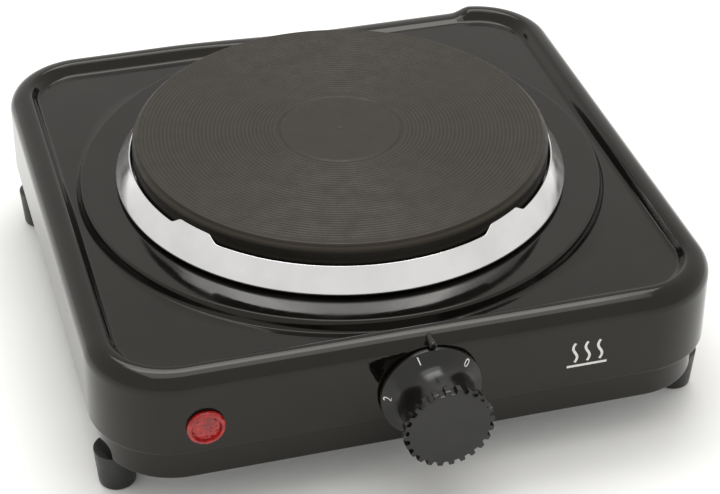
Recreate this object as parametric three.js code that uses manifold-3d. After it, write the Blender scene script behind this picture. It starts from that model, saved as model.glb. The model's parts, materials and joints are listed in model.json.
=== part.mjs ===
// A single-burner electric hot plate: a pressed steel housing with a cast iron plate, a dial thermostat at
// the front, an indicator lamp, four feet and what holds them together. Millimetres, +Z up, dial towards -Y.
// The origin is on the table, under the middle of the whole object.
import * as THREE from "three";
import { mergeVertices } from "three/addons/utils/BufferGeometryUtils.js";
import Module from "manifold-3d";

const wasm = await Module();
wasm.setup();

// ---------------------------------------------------------------- driving dimensions
// Housing
const BODY_WIDTH = 225;
const BODY_DEPTH = 223;
const BODY_HEIGHT = 45; // bottom edge to the crest of the rim
const CORNER_RADIUS = 30;
const SHEET = 1.2; // steel of the housing
const SHOULDER_RADIUS = 6.6; // rounding from wall to rim
const RIM_WIDTH = 12.1; // wall to the foot of the rim's inner slope
const RIM_HEIGHT = 4.3; // crest above the deck
const RIM_CREST_RADIUS = 2.5;
const RIM_FOOT_RADIUS = 2;
const RIM_SLOPE = THREE.MathUtils.degToRad(60);
const WALL_STEP = 3.4; // how far the lower band of the wall stands in
const WALL_STEP_HEIGHT = 12; // middle of that step above the bottom edge
const WALL_STEP_BLEND = 3.2; // height over which the step is drawn
const DIP_START = 20; // the dip in the rear rim, from the middle to the right
const DIP_END = 83;
const DIP_DEPTH = 3;
const DIP_BLEND = 6;

// Plate and trim ring
const PLATE_RADIUS = 77.5;
const PLATE_CHAMFER = 2;
const PLATE_EDGE_HEIGHT = 9.5; // chamfer included
const PLATE_LIFT = 17.3; // plate's top above the plateau it stands on
const PLATE_SHELL = 5; // iron over the element
const PLATE_RIM_WIDTH = 7; // the ring under the plate that presses on the trim ring
const PLATE_NECK = 4.5; // how far that ring stands in from the plate's edge
const CENTER_DISC_RADIUS = 23;
const CENTER_GROOVE = 0.5; // depth of the ring line round the centre disc
const PLATEAU_MARGIN = 19.5; // plateau's top edge beyond the plate
const PLATEAU_RISE = 3.4; // plateau above the deck
const PLATEAU_STEP = 2.3; // width of the plateau's sloped edge
const OPENING_MARGIN = 9.5; // hole in the plateau, inside the plate's edge
const RING_SHEET = 0.6;
const RING_FLARE = 5; // how far the ring's skirt spreads
const RING_TAB_COUNT = 4;
const RING_TAB_START = -147; // direction of the first tab, in degrees
const RING_TAB_SPAN = 13; // width of a tab, in degrees
const RING_LAP = 2.2; // how far the ring stands up beside the plate's edge
const RING_TAB_HEIGHT = 2.6;

// Element and clamp under the plate
const COIL_TUBE = 2.2; // radius
const COIL_TURNS = 3;
const COIL_INNER = 30;
const COIL_MARGIN = 1.5; // last turn to the ring under the plate
const COIL_DROP = 2.2; // between the iron and the tube
const LEAD_CLEAR = 1; // round the element's ends where they pass through
const BOSS_RADIUS = 12;
const STUD_RADIUS = 3;
const STUD_LENGTH = 22; // below the boss
const INSULATION_THICKNESS = 2.5;
const COVER_SHEET = 0.6;
const COVER_MARGIN = 4; // edge of the cover inside the housing's opening
const BRIDGE_WIDTH = 18;
const BRIDGE_SHEET = 1.6;
const BRIDGE_DROP = 6;
const BRIDGE_LAP = 8; // what the bridge reaches under the plateau
const NUT_HEIGHT = 5;
const NUT_FLATS = 10;
const SHIELD_RADIUS = 58;
const SHIELD_SHEET = 0.8;
const SHIELD_LIP = 4;
const WASHER_SHEET = 1.2;
const BLOCK_WIDTH = 16; // ceramic block under the plate
const BLOCK_HEIGHT = 8;
const BLOCK_MARGIN = 5;

// Dial
const KNOB_X = 0.8;
const KNOB_DROP = 2.9; // dial's axis below the middle of the straight wall
const KNOB_STANDOFF = 0.8;
const DIAL_RADIUS = 18.2;
const DIAL_EDGE = 1.5;
const NECK_RADIUS = 12.5;
const NECK_START = 6; // from the wall
const GRIP_RADIUS = 15.9; // over the ribs
const GRIP_RIB_DEPTH = 1.6;
const GRIP_RIBS = 24;
const GRIP_LENGTH = 3.6;
const KNOB_REACH = 22.5; // wall to the face of the grip
const KNOB_WALL = 1.5;
const SHAFT_RADIUS = 3;
const SHAFT_FLAT_DEPTH = 1.2; // what the flat takes off the round
const SHAFT_RUNNING_GAP = 0.1;
const BUSHING_RADIUS = 4.8;
const CLIP_WIDTH = 3; // spring between the shaft's flat and the dial's bore
const POINTER_RADIUS = 1.4;
const POINTER_LIFT = 1.8; // pointer's axis above the dial's edge

// Thermostat
const CONTROL_WIDTH = 30;
const CONTROL_HEIGHT = 22;
const CONTROL_DEPTH = 16;
const CONTROL_STANDOFF = 9; // wall to the ceramic body
const CONTROL_TAB_X = 9; // its terminals, from the dial's axis
const CONTROL_SCREW_SPACING = 22;
const CONTROL_BRACKET_RISE = 9; // bracket's top edge above the dial's axis
const TAB_WIDTH = 6.3; // flat push-on tabs
const TAB_THICKNESS = 0.8;
const TAB_LENGTH = 8;
const BLADE_WIDTH = 8;
const BLADE_REACH = 11; // bimetal strip behind the ceramic body
const BIMETAL_SHEET = 0.8;
const CONTACT_SHEET = 0.6;

// Indicator lamp
const LAMP_X = -77.5;
const LAMP_DROP = 2.1; // lamp's axis below the middle of the straight wall
const LAMP_RADIUS = 6.8;
const LAMP_BARREL = 5.2;
const LAMP_BARREL_LENGTH = 9;
const LAMP_CLIP_WIDTH = 1.3;
const CLIP_SHEET = 0.6;
const LAMP_BODY_LENGTH = 18;

// Base, feet and fasteners
const FOOT_HEIGHT = 15.2; // table to the housing's bottom edge
const FOOT_INSET_X = 8; // foot's axis from the side wall
const FOOT_INSET_Y = 27; // and from the front or rear wall
const FOOT_RADIUS = 7.7;
const FOOT_TAPER = 0.7;
const FOOT_EDGE = 1.1;
const FOOT_RECESS_RADIUS = 4.4;
const FOOT_RECESS_DEPTH = 8;
const FOOT_SPIGOT_WALL = 0.7; // collar round the screw, on top of the foot
const BASE_SHEET = 1;
const BASE_RAISE = 1; // base sheet above the housing's bottom edge
const VENT_LENGTH = 34;
const VENT_WIDTH = 5;
const VENT_PITCH = 12;
const VENTS_PER_ROW = 5;
const BRACKET_SHEET = 1.5;
const BRACKET_HEIGHT = 8;
const SCREW_RADIUS = 1.7;
const SCREW_HEAD_RADIUS = 3.3;
const SCREW_HEAD_HEIGHT = 1.6;

// Cord entry and wiring
const GLAND_X = -60;
const GLAND_HEIGHT = 22; // above the housing's bottom edge
const GLAND_BORE = 3.7;
const GLAND_NECK = 6;
const GLAND_FLANGE = 8.5;
const GLAND_REACH = 3;
const WIRE_RADIUS = 1.1;
const MAINS_BLOCK = [28, 14, 12];
const MAINS_X = -40;
const MAINS_INSET = 30; // block's middle from the rear wall
const EARTH_X = -14;

const FIT = 0.3; // between pieces that touch

// ---------------------------------------------------------------- levels and places that follow
const BOTTOM = FOOT_HEIGHT;
const CREST = BOTTOM + BODY_HEIGHT;
const DECK = CREST - RIM_HEIGHT;
const PLATEAU = DECK + PLATEAU_RISE;
const PLATE_TOP = PLATEAU + PLATE_LIFT;
const HALF_WIDTH = BODY_WIDTH / 2;
const HALF_DEPTH = BODY_DEPTH / 2;
const STRAIGHT_WALL = BOTTOM + WALL_STEP_HEIGHT + WALL_STEP_BLEND / 2; // where the wall above its step starts
const WALL_MIDDLE = (STRAIGHT_WALL + CREST - SHOULDER_RADIUS) / 2;
const KNOB_Z = WALL_MIDDLE - KNOB_DROP;
const LAMP_Z = WALL_MIDDLE - LAMP_DROP;
const OPENING_RADIUS = PLATE_RADIUS - OPENING_MARGIN;
const RING_FLANGE = PLATEAU + FIT; // underside of the ring's flange
const PLATE_RIM_BOTTOM = RING_FLANGE + RING_SHEET + FIT;
const EDGE_BOTTOM = PLATE_TOP - PLATE_EDGE_HEIGHT;
const RIM_OUTER = PLATE_RADIUS - PLATE_NECK;
const RIM_INNER = RIM_OUTER - PLATE_RIM_WIDTH;
const CEILING = PLATE_TOP - PLATE_SHELL;
const COIL_OUTER = RIM_INNER - COIL_TUBE - COIL_MARGIN;
const BOSS_BOTTOM = PLATEAU - SHEET;
const BRIDGE_TOP = PLATEAU - SHEET - FIT;
const BRIDGE_MIDDLE = BRIDGE_TOP - BRIDGE_DROP - BRIDGE_SHEET; // underside in the middle
const SCREW_CLEAR = SCREW_RADIUS + FIT;
const SHAFT_FLAT = SHAFT_RADIUS - SHAFT_FLAT_DEPTH; // axis to the flat
const BASE_UNDERSIDE = BOTTOM + BASE_RAISE;
const BASE_TOP = BASE_UNDERSIDE + BASE_SHEET;
const BAND_INNER = WALL_STEP + SHEET; // inset of the lower band's inner face
const GLAND_Z = BOTTOM + GLAND_HEIGHT;
const MAINS_Y = HALF_DEPTH - MAINS_INSET;
const FRONT_REACH = HALF_DEPTH + KNOB_REACH;
const REAR_REACH = HALF_DEPTH + GLAND_REACH;

// ---------------------------------------------------------------- materials
function material(color, roughness, metalness) {
  return new THREE.MeshStandardMaterial({ color, roughness, metalness });
}
const MATERIALS = {
  enamel: material(0x24231f, 0.25, 0.1),
  castIron: material(0x3a342e, 0.75, 0.4),
  chrome: material(0xd8d8da, 0.12, 1),
  steel: material(0x9a9c9e, 0.4, 1),
  blackPlastic: material(0x151413, 0.35, 0),
  redLens: material(0xc81a1e, 0.15, 0),
  ceramic: material(0xe6e0d2, 0.6, 0),
  brass: material(0xb98f46, 0.35, 1),
  rubber: material(0x1a1a1a, 0.8, 0),
  insulation: material(0xc9bfae, 0.9, 0),
  element: material(0x7a6a5c, 0.6, 0.8),
  wireLive: material(0x6b3a1e, 0.5, 0),
  wireNeutral: material(0x2a5fa8, 0.5, 0),
  wireEarth: material(0x5d9a3a, 0.5, 0),
};

// ---------------------------------------------------------------- solids
// A closed three.js geometry as a manifold solid, with equal corners merged and faces turned outwards.
function solid(geometry) {
  const bare = geometry.index ? geometry.toNonIndexed() : geometry.clone();
  bare.deleteAttribute("normal");
  bare.deleteAttribute("uv");
  const merged = mergeVertices(bare, 1e-4);
  const index = merged.index.array;
  const corners = [];
  for (let i = 0; i < index.length; i += 3) {
    const [a, b, c] = [index[i], index[i + 1], index[i + 2]];
    if (a !== b && b !== c && c !== a) corners.push(a, b, c);
  }
  const build = (triVerts) =>
    new wasm.Manifold(
      new wasm.Mesh({
        numProp: 3,
        vertProperties: merged.attributes.position.array,
        triVerts: new Uint32Array(triVerts),
      }),
    );
  const made = build(corners);
  return made.volume() < 0 ? build(corners.reverse()) : made;
}

function geometryOf(shape) {
  const mesh = shape.getMesh();
  const geometry = new THREE.BufferGeometry();
  geometry.setAttribute("position", new THREE.BufferAttribute(mesh.vertProperties, 3));
  geometry.setIndex(new THREE.BufferAttribute(mesh.triVerts, 1));
  geometry.computeVertexNormals();
  return geometry;
}

// asOriginal merges the flat faces that a join or a cut leaves split.
function join(...solids) {
  return solids.reduce((a, b) => a.add(b)).asOriginal();
}

function cut(from, ...tools) {
  return tools.reduce((a, b) => a.subtract(b), from).asOriginal();
}

function box(x0, x1, y0, y1, z0, z1) {
  const geometry = new THREE.BoxGeometry(x1 - x0, y1 - y0, z1 - z0);
  geometry.translate((x0 + x1) / 2, (y0 + y1) / 2, (z0 + z1) / 2);
  return solid(geometry);
}

// A turned solid about Z from [radius, height] points, which start and end on the axis or close up.
function turned(points, segments = 24) {
  const onAxis = points[0][0] === 0 && points.at(-1)[0] === 0;
  const loop = onAxis ? points : [...points, points[0]];
  const geometry = new THREE.LatheGeometry(
    loop.map(([r, z]) => new THREE.Vector2(r, z)),
    segments,
  );
  geometry.rotateX(Math.PI / 2);
  return solid(geometry);
}

function cylinder(radius, z0, z1, segments = 20) {
  return turned([[0, z0], [radius, z0], [radius, z1], [0, z1]], segments);
}

function ring(inner, outer, z0, z1, segments = 20) {
  return turned([[inner, z0], [outer, z0], [outer, z1], [inner, z1]], segments);
}

function extruded(shape, z0, z1, curveSegments = 3) {
  const depth = z1 - z0;
  const geometry = new THREE.ExtrudeGeometry(shape, { depth, bevelEnabled: false, curveSegments });
  geometry.translate(0, 0, z0);
  return solid(geometry);
}

function polygon(points) {
  return new THREE.Shape(points.map(([x, y]) => new THREE.Vector2(x, y)));
}

function roundedRectangle(halfX, halfY, radius) {
  const shape = new THREE.Shape();
  shape.absarc(halfX - radius, halfY - radius, radius, 0, Math.PI / 2);
  shape.absarc(radius - halfX, halfY - radius, radius, Math.PI / 2, Math.PI);
  shape.absarc(radius - halfX, radius - halfY, radius, Math.PI, 1.5 * Math.PI);
  shape.absarc(halfX - radius, radius - halfY, radius, 1.5 * Math.PI, 2 * Math.PI);
  return shape;
}

// A tube of round section along a smooth line through the points.
function tube(points, radius, steps, sides = 8) {
  const section = new THREE.Shape();
  section.absarc(0, 0, radius, 0, 2 * Math.PI);
  const path = new THREE.CatmullRomCurve3(points.map((p) => new THREE.Vector3(...p)));
  return solid(new THREE.ExtrudeGeometry(section, { steps, curveSegments: sides / 2, extrudePath: path }));
}

// Sheet metal seen from the side: a line of points given a thickness on its left.
function sheetLoop(points, thickness) {
  const direction = (a, b) => new THREE.Vector2(b[0] - a[0], b[1] - a[1]).normalize();
  const side = points.map((p, i) => {
    const before = direction(points[Math.max(i - 1, 0)], points[Math.max(i, 1)]);
    const last = points.length - 1;
    const after = direction(points[Math.min(i, last - 1)], points[Math.min(i + 1, last)]);
    const normal = new THREE.Vector2(-before.y - after.y, before.x + after.x).normalize();
    const reach = thickness / Math.max(normal.dot(new THREE.Vector2(-after.y, after.x)), 0.3);
    return [p[0] + normal.x * reach, p[1] + normal.y * reach];
  });
  return [...points, ...side.reverse()];
}

// Points of an arc about [x, y], angles in radians.
function arc(x, y, radius, from, to, steps) {
  return Array.from({ length: steps + 1 }, (_, i) => {
    const angle = from + ((to - from) * i) / steps;
    return [x + radius * Math.cos(angle), y + radius * Math.sin(angle)];
  });
}

// ---------------------------------------------------------------- frames
const TO_FRONT = new THREE.Matrix4().makeBasis(
  new THREE.Vector3(1, 0, 0),
  new THREE.Vector3(0, 0, 1),
  new THREE.Vector3(0, -1, 0),
);
const TO_REAR = new THREE.Matrix4().makeBasis(
  new THREE.Vector3(-1, 0, 0),
  new THREE.Vector3(0, 0, 1),
  new THREE.Vector3(0, 1, 0),
);
const TO_SIDE = new THREE.Matrix4().makeBasis(
  new THREE.Vector3(0, 1, 0),
  new THREE.Vector3(0, 0, 1),
  new THREE.Vector3(1, 0, 0),
);

// A group whose own +Z points out of the wall, with its zero on the wall's outer face.
function wallGroup(frame, x, y, z) {
  const group = new THREE.Group();
  group.quaternion.setFromRotationMatrix(frame);
  group.position.set(x, y, z);
  return group;
}

function placed(shape, frame, x, y, z) {
  const matrix = frame.clone().setPosition(x, y, z);
  return shape.transform(matrix.toArray());
}

function piece(group, name, shape, finish) {
  const mesh = new THREE.Mesh(geometryOf(shape), finish);
  mesh.name = name;
  group.add(mesh);
}

const root = new THREE.Group();
root.position.y = (FRONT_REACH - REAR_REACH) / 2;

// ---------------------------------------------------------------- housing
// Steps that 32-bit numbers hold exactly, so that straight walls meet turned corners without slivers.
function onGrid(value) {
  return Math.round(value * 1024) / 1024;
}

// Half of the housing's section as [inset from the wall, height] points, from the bottom edge over the rim to
// the deck. A skin above zero gives the inside of the sheet.
function shellProfile(skin) {
  const blend = (RIM_CREST_RADIUS + RIM_FOOT_RADIUS) * Math.sin(RIM_SLOPE);
  const fall = RIM_HEIGHT - (RIM_CREST_RADIUS + RIM_FOOT_RADIUS) * (1 - Math.cos(RIM_SLOPE));
  const crestEnd = RIM_WIDTH - blend - fall / Math.tan(RIM_SLOPE);
  const step = Array.from({ length: 7 }, (_, i) => [
    skin + (WALL_STEP * (1 + Math.cos((Math.PI * i) / 6))) / 2,
    BOTTOM + WALL_STEP_HEIGHT + WALL_STEP_BLEND * (i / 6 - 0.5),
  ]);
  const [up, slope] = [Math.PI / 2, Math.PI / 2 - RIM_SLOPE];
  const points = [
    [skin + WALL_STEP, skin > 0 ? BOTTOM - 1 : BOTTOM],
    ...step,
    ...arc(SHOULDER_RADIUS, CREST - SHOULDER_RADIUS, SHOULDER_RADIUS - skin, Math.PI, up, 5),
    ...arc(crestEnd, CREST - RIM_CREST_RADIUS, RIM_CREST_RADIUS - skin, up, slope, 3),
    ...arc(RIM_WIDTH, DECK + RIM_FOOT_RADIUS, RIM_FOOT_RADIUS + skin, slope + Math.PI, 1.5 * Math.PI, 3),
  ];
  return points.map((point) => point.map(onGrid));
}

// The section carried round the rounded square: two extrusions that cross, and a turned solid at each corner.
function roundedBody(profile) {
  const section = (half) => polygon([
    ...profile.map(([inset, z]) => [half - inset, z]),
    ...profile.map(([inset, z]) => [inset - half, z]).reverse(),
  ]);
  const [cx, cy] = [HALF_WIDTH - CORNER_RADIUS, HALF_DEPTH - CORNER_RADIUS];
  const corner = turned([
    [0, profile[0][1]],
    ...profile.map(([inset, z]) => [CORNER_RADIUS - inset, z]),
    [0, profile.at(-1)[1]],
  ], 24);
  const quarter = corner.intersect(box(0, CORNER_RADIUS + 1, 0, CORNER_RADIUS + 1, 0, CREST + 1));
  const corners = [[cx, cy], [-cx, cy], [-cx, -cy], [cx, -cy]].map(([x, y], i) =>
    quarter.rotate([0, 0, 90 * i]).translate([x, y, 0]));
  return join(
    placed(extruded(section(HALF_DEPTH), -cx, cx), TO_SIDE, 0, 0, 0),
    placed(extruded(section(HALF_WIDTH), -cy, cy), TO_FRONT, 0, 0, 0),
    ...corners,
  );
}

function plateau(skin) {
  const top = PLATE_RADIUS + PLATEAU_MARGIN;
  const foot = top + PLATEAU_STEP;
  const disc = turned([
    [0, DECK - skin - 1],
    [foot - skin, DECK - skin - 1],
    [foot - skin, DECK - skin],
    [foot - skin - PLATEAU_STEP * 0.2, DECK - skin + PLATEAU_RISE * 0.35],
    [top - skin + PLATEAU_STEP * 0.3, PLATEAU - skin - PLATEAU_RISE * 0.15],
    [top - skin - 1, PLATEAU - skin],
    [0, PLATEAU - skin],
  ], 48);
  const inset = SHOULDER_RADIUS + skin;
  const limit = roundedRectangle(HALF_WIDTH - inset, HALF_DEPTH - inset, CORNER_RADIUS - inset);
  return disc.intersect(extruded(limit, BOTTOM, CREST, 4));
}

// The dip in the rear rim: straight, with a smooth rise at each end.
function rimDip(skin) {
  const [high, low] = [CREST + 1, CREST - DIP_DEPTH - skin];
  const rise = (start, end) => Array.from({ length: 7 }, (_, i) => [
    start + ((end - start) * i) / 6,
    low + ((high - low) * (1 + Math.cos((Math.PI * i) / 6))) / 2,
  ]);
  const outline = polygon([
    ...rise(DIP_START - DIP_BLEND / 2, DIP_START + DIP_BLEND / 2),
    ...rise(DIP_END + DIP_BLEND / 2, DIP_END - DIP_BLEND / 2).reverse(),
  ]);
  return placed(extruded(outline, -1 - RIM_WIDTH, RIM_WIDTH + 1), TO_FRONT, 0, HALF_DEPTH, 0);
}

function wallHole(frame, radius, x, y, z) {
  return placed(cylinder(radius, -RIM_WIDTH, 5), frame, x, y, z);
}

function makeHousing() {
  const form = (skin) => cut(join(roundedBody(shellProfile(skin)), plateau(skin)), rimDip(skin));
  const screwX = CONTROL_SCREW_SPACING / 2;
  return cut(
    form(0),
    form(SHEET),
    cylinder(OPENING_RADIUS, DECK - 5, CREST, 44),
    wallHole(TO_FRONT, BUSHING_RADIUS + FIT, KNOB_X, -HALF_DEPTH, KNOB_Z),
    wallHole(TO_FRONT, SCREW_CLEAR, KNOB_X - screwX, -HALF_DEPTH, KNOB_Z),
    wallHole(TO_FRONT, SCREW_CLEAR, KNOB_X + screwX, -HALF_DEPTH, KNOB_Z),
    placed(
      cylinder(POINTER_RADIUS + FIT, -SHOULDER_RADIUS, 5, 12),
      TO_FRONT, KNOB_X, -HALF_DEPTH, KNOB_Z + DIAL_RADIUS + POINTER_LIFT,
    ),
    wallHole(TO_FRONT, LAMP_BARREL + FIT, LAMP_X, -HALF_DEPTH, LAMP_Z),
    wallHole(TO_REAR, GLAND_NECK + FIT, GLAND_X, HALF_DEPTH, GLAND_Z),
  );
}

// ---------------------------------------------------------------- plate, ring and element
function makePlate() {
  const grooveInner = CENTER_DISC_RADIUS - 0.6;
  const grooveOuter = CENTER_DISC_RADIUS + 0.6;
  const body = turned([
    [0, PLATE_TOP],
    [grooveInner, PLATE_TOP],
    [CENTER_DISC_RADIUS, PLATE_TOP - CENTER_GROOVE],
    [grooveOuter, PLATE_TOP],
    [PLATE_RADIUS - PLATE_CHAMFER, PLATE_TOP],
    [PLATE_RADIUS, PLATE_TOP - PLATE_CHAMFER],
    [PLATE_RADIUS, EDGE_BOTTOM],
    [RIM_OUTER, EDGE_BOTTOM],
    [RIM_OUTER, PLATE_RIM_BOTTOM],
    [RIM_INNER, PLATE_RIM_BOTTOM],
    [RIM_INNER, CEILING],
    [BOSS_RADIUS, CEILING],
    [BOSS_RADIUS, BOSS_BOTTOM],
    [0, BOSS_BOTTOM],
  ].reverse(), 44);
  return cut(body, cylinder(STUD_RADIUS + FIT, BOSS_BOTTOM - 1, CEILING - 1));
}

function makeTrimRing() {
  const inner = PLATE_RADIUS + FIT;
  const outer = inner + RING_FLARE;
  const top = EDGE_BOTTOM + RING_LAP;
  const flange = OPENING_RADIUS + 0.8;
  const loop = sheetLoop([
    [flange, RING_FLANGE],
    [outer - 1.2, RING_FLANGE],
    [outer - 0.1, RING_FLANGE + 1],
    [outer, RING_FLANGE + 2.1],
    [inner + 1.8, top],
    [inner + RING_SHEET + 0.5, top + 0.35],
  ], RING_SHEET);
  const tabs = Array.from({ length: RING_TAB_COUNT }, (_, i) => {
    const middle = THREE.MathUtils.degToRad(RING_TAB_START + (360 / RING_TAB_COUNT) * i);
    const half = THREE.MathUtils.degToRad(RING_TAB_SPAN / 2);
    const shape = new THREE.Shape();
    shape.absarc(0, 0, inner + RING_SHEET + 0.4, middle - half, middle + half);
    shape.absarc(0, 0, inner, middle + half, middle - half, true);
    return extruded(shape, top - 0.8, top + RING_TAB_HEIGHT);
  });
  return join(turned(loop, 44), ...tabs);
}

// The element: a flat spiral under the iron whose two ends turn down through the insulation.
function makeCoil(lead) {
  const z = CEILING - COIL_TUBE - COIL_DROP;
  const start = -Math.PI / 2;
  const turns = Array.from({ length: 31 }, (_, i) => {
    const share = i / 30;
    const angle = start + 2 * Math.PI * COIL_TURNS * share;
    const radius = COIL_INNER + (COIL_OUTER - COIL_INNER) * share;
    return [radius * Math.cos(angle), radius * Math.sin(angle), z];
  });
  const drop = (p) => [p[0], p[1], lead];
  const last = turns.at(-1);
  return {
    shape: tube([drop(turns[0]), ...turns, drop(last)], COIL_TUBE, 48, 6),
    ends: [turns[0], last],
  };
}

function makeClampBridge() {
  const end = OPENING_RADIUS + BRIDGE_LAP;
  const bend = OPENING_RADIUS - 3;
  const middle = BRIDGE_MIDDLE;
  const top = BRIDGE_TOP - BRIDGE_SHEET;
  const line = [[-end, top], [-bend - 2, top], [-bend, middle], [bend, middle], [bend + 2, top], [end, top]];
  const strip = extruded(polygon(sheetLoop(line, BRIDGE_SHEET)), -BRIDGE_WIDTH / 2, BRIDGE_WIDTH / 2);
  const hole = cylinder(STUD_RADIUS + FIT, middle - 1, BRIDGE_TOP + 1);
  return cut(placed(strip, TO_FRONT, 0, 0, 0), hole);
}

function hexNut(bore, flats, z0, z1) {
  const radius = flats / 2 / Math.cos(Math.PI / 6);
  return cut(cylinder(radius, z0, z1, 6), cylinder(bore, z0 - 1, z1 + 1, 16));
}

function makeTerminalBlock(ends, bottom, top) {
  const [inner, outer] = ends.map(([, y]) => y);
  const half = BLOCK_WIDTH / 2;
  const block = box(-half, half, outer - BLOCK_MARGIN, inner + BLOCK_MARGIN, bottom, top);
  const well = cylinder(COIL_TUBE + LEAD_CLEAR, bottom + 2, top + 1, 12);
  const wells = ends.map(([x, y]) => well.translate([x, y, 0]));
  return cut(block, ...wells);
}

function tab(x, y, z, away) {
  const near = away * (BLOCK_WIDTH / 2 + FIT);
  const far = near + away * TAB_LENGTH;
  const half = TAB_WIDTH / 2;
  const [left, right] = [Math.min(near, far), Math.max(near, far)];
  return box(x + left, x + right, y - half, y + half, z, z + TAB_THICKNESS);
}

function addClampStack(group) {
  const washerTop = BRIDGE_MIDDLE - FIT;
  const nutTop = washerTop - WASHER_SHEET - FIT;
  const shieldTop = nutTop - NUT_HEIGHT - FIT;
  const lowerNutTop = shieldTop - SHIELD_SHEET - FIT;
  const bore = STUD_RADIUS + FIT;
  const dish = sheetLoop([
    [bore, shieldTop - SHIELD_SHEET],
    [SHIELD_RADIUS - SHIELD_LIP, shieldTop - SHIELD_SHEET],
    [SHIELD_RADIUS, shieldTop - SHIELD_SHEET + SHIELD_LIP / 2],
  ], SHIELD_SHEET);
  const stud = cylinder(STUD_RADIUS, BOSS_BOTTOM - STUD_LENGTH, CEILING - 2, 16);
  piece(group, "center_stud", stud, MATERIALS.steel);
  piece(group, "clamp_bridge", makeClampBridge(), MATERIALS.steel);
  const washer = ring(bore, NUT_FLATS * 0.75, washerTop - WASHER_SHEET, washerTop);
  const lowerNut = hexNut(bore, NUT_FLATS, lowerNutTop - NUT_HEIGHT, lowerNutTop);
  piece(group, "clamp_washer", washer, MATERIALS.steel);
  piece(group, "clamp_nut", hexNut(bore, NUT_FLATS, nutTop - NUT_HEIGHT, nutTop), MATERIALS.steel);
  piece(group, "heat_shield", turned(dish, 32), MATERIALS.steel);
  piece(group, "shield_nut", lowerNut, MATERIALS.steel);
}

function makePlateGroup() {
  const group = new THREE.Group();
  const insulationTop = PLATE_RIM_BOTTOM - FIT;
  const insulationBottom = insulationTop - INSULATION_THICKNESS;
  const coverTop = insulationBottom - FIT;
  const coverBottom = coverTop - COVER_SHEET;
  const blockTop = coverBottom - FIT;
  const blockBottom = blockTop - BLOCK_HEIGHT;
  const coil = makeCoil(blockTop - 4);
  const leadHole = cylinder(COIL_TUBE + LEAD_CLEAR, blockBottom - 1, coverTop + 4, 12);
  const leadHoles = coil.ends.map(([x, y]) => leadHole.translate([x, y, 0]));
  const hub = BOSS_RADIUS + FIT;
  piece(group, "hot_plate", makePlate(), MATERIALS.castIron);
  piece(group, "trim_ring", makeTrimRing(), MATERIALS.chrome);
  piece(group, "heating_coil", coil.shape, MATERIALS.element);
  piece(group, "insulation_disc", cut(
    ring(hub, RIM_INNER - FIT, insulationBottom, insulationTop, 32), ...leadHoles), MATERIALS.insulation);
  const cover = ring(hub, OPENING_RADIUS - COVER_MARGIN, coverBottom, coverTop, 32);
  piece(group, "plate_cover", cut(cover, ...leadHoles), MATERIALS.steel);
  piece(group, "terminal_block", makeTerminalBlock(coil.ends, blockBottom, blockTop), MATERIALS.ceramic);
  const [innerEnd, outerEnd] = coil.ends;
  const tabZ = blockBottom + BLOCK_HEIGHT / 2;
  piece(group, "element_terminal_right", tab(0, innerEnd[1], tabZ, 1), MATERIALS.brass);
  piece(group, "element_terminal_left", tab(0, outerEnd[1] + 4, tabZ, -1), MATERIALS.brass);
  addClampStack(group);
  return group;
}

// ---------------------------------------------------------------- thermostat and dial
function gripOutline() {
  const valley = GRIP_RADIUS - GRIP_RIB_DEPTH;
  const pitch = (2 * Math.PI) / GRIP_RIBS;
  const rib = [[valley, -0.27], [GRIP_RADIUS, -0.22], [GRIP_RADIUS, 0.22], [valley, 0.27]];
  return polygon(Array.from({ length: GRIP_RIBS }, (_, i) => rib.map(([radius, offset]) => {
    const angle = (i + offset) * pitch;
    return [radius * Math.cos(angle), radius * Math.sin(angle)];
  })).flat());
}

function makeKnob() {
  const gripStart = KNOB_REACH - GRIP_LENGTH;
  const valley = GRIP_RADIUS - GRIP_RIB_DEPTH;
  const edgeTop = KNOB_STANDOFF + DIAL_EDGE;
  const slope = (NECK_START - edgeTop) / (DIAL_RADIUS - NECK_RADIUS);
  const under = (radius) => edgeTop + (DIAL_RADIUS - radius) * slope - KNOB_WALL * Math.hypot(1, slope);
  const skirtInner = DIAL_RADIUS - KNOB_WALL;
  const neckInner = NECK_RADIUS - KNOB_WALL;
  const bore = SHAFT_RADIUS + FIT;
  const hub = bore + 2.2;
  const hubStart = KNOB_STANDOFF + 2;
  const boreEnd = gripStart + 2;
  const body = turned([
    [0, KNOB_REACH],
    [valley - 0.6, KNOB_REACH],
    [valley, KNOB_REACH - 0.6],
    [valley, gripStart],
    [NECK_RADIUS - 0.2, gripStart],
    [NECK_RADIUS, NECK_START],
    [DIAL_RADIUS, edgeTop],
    [DIAL_RADIUS, KNOB_STANDOFF],
    [skirtInner, KNOB_STANDOFF],
    [skirtInner, under(skirtInner)],
    [neckInner, under(neckInner)],
    [neckInner, gripStart - 2],
    [hub, gripStart - 2],
    [hub, hubStart],
    [bore, hubStart],
    [bore, boreEnd],
    [0, boreEnd],
  ], 28);
  const ribs = extruded(gripOutline(), gripStart, KNOB_REACH - 0.3);
  return join(body, cut(ribs, cylinder(valley - 1, 0, KNOB_REACH + 1, 12)));
}

function makeShaft() {
  const back = -CONTROL_STANDOFF - CONTROL_DEPTH + 1;
  const front = KNOB_REACH - GRIP_LENGTH + 1;
  const side = SHAFT_RADIUS + 1;
  const flat = box(-side, side, SHAFT_FLAT, side, KNOB_STANDOFF + 2, front + 1);
  return cut(cylinder(SHAFT_RADIUS, back, front), flat);
}

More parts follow.
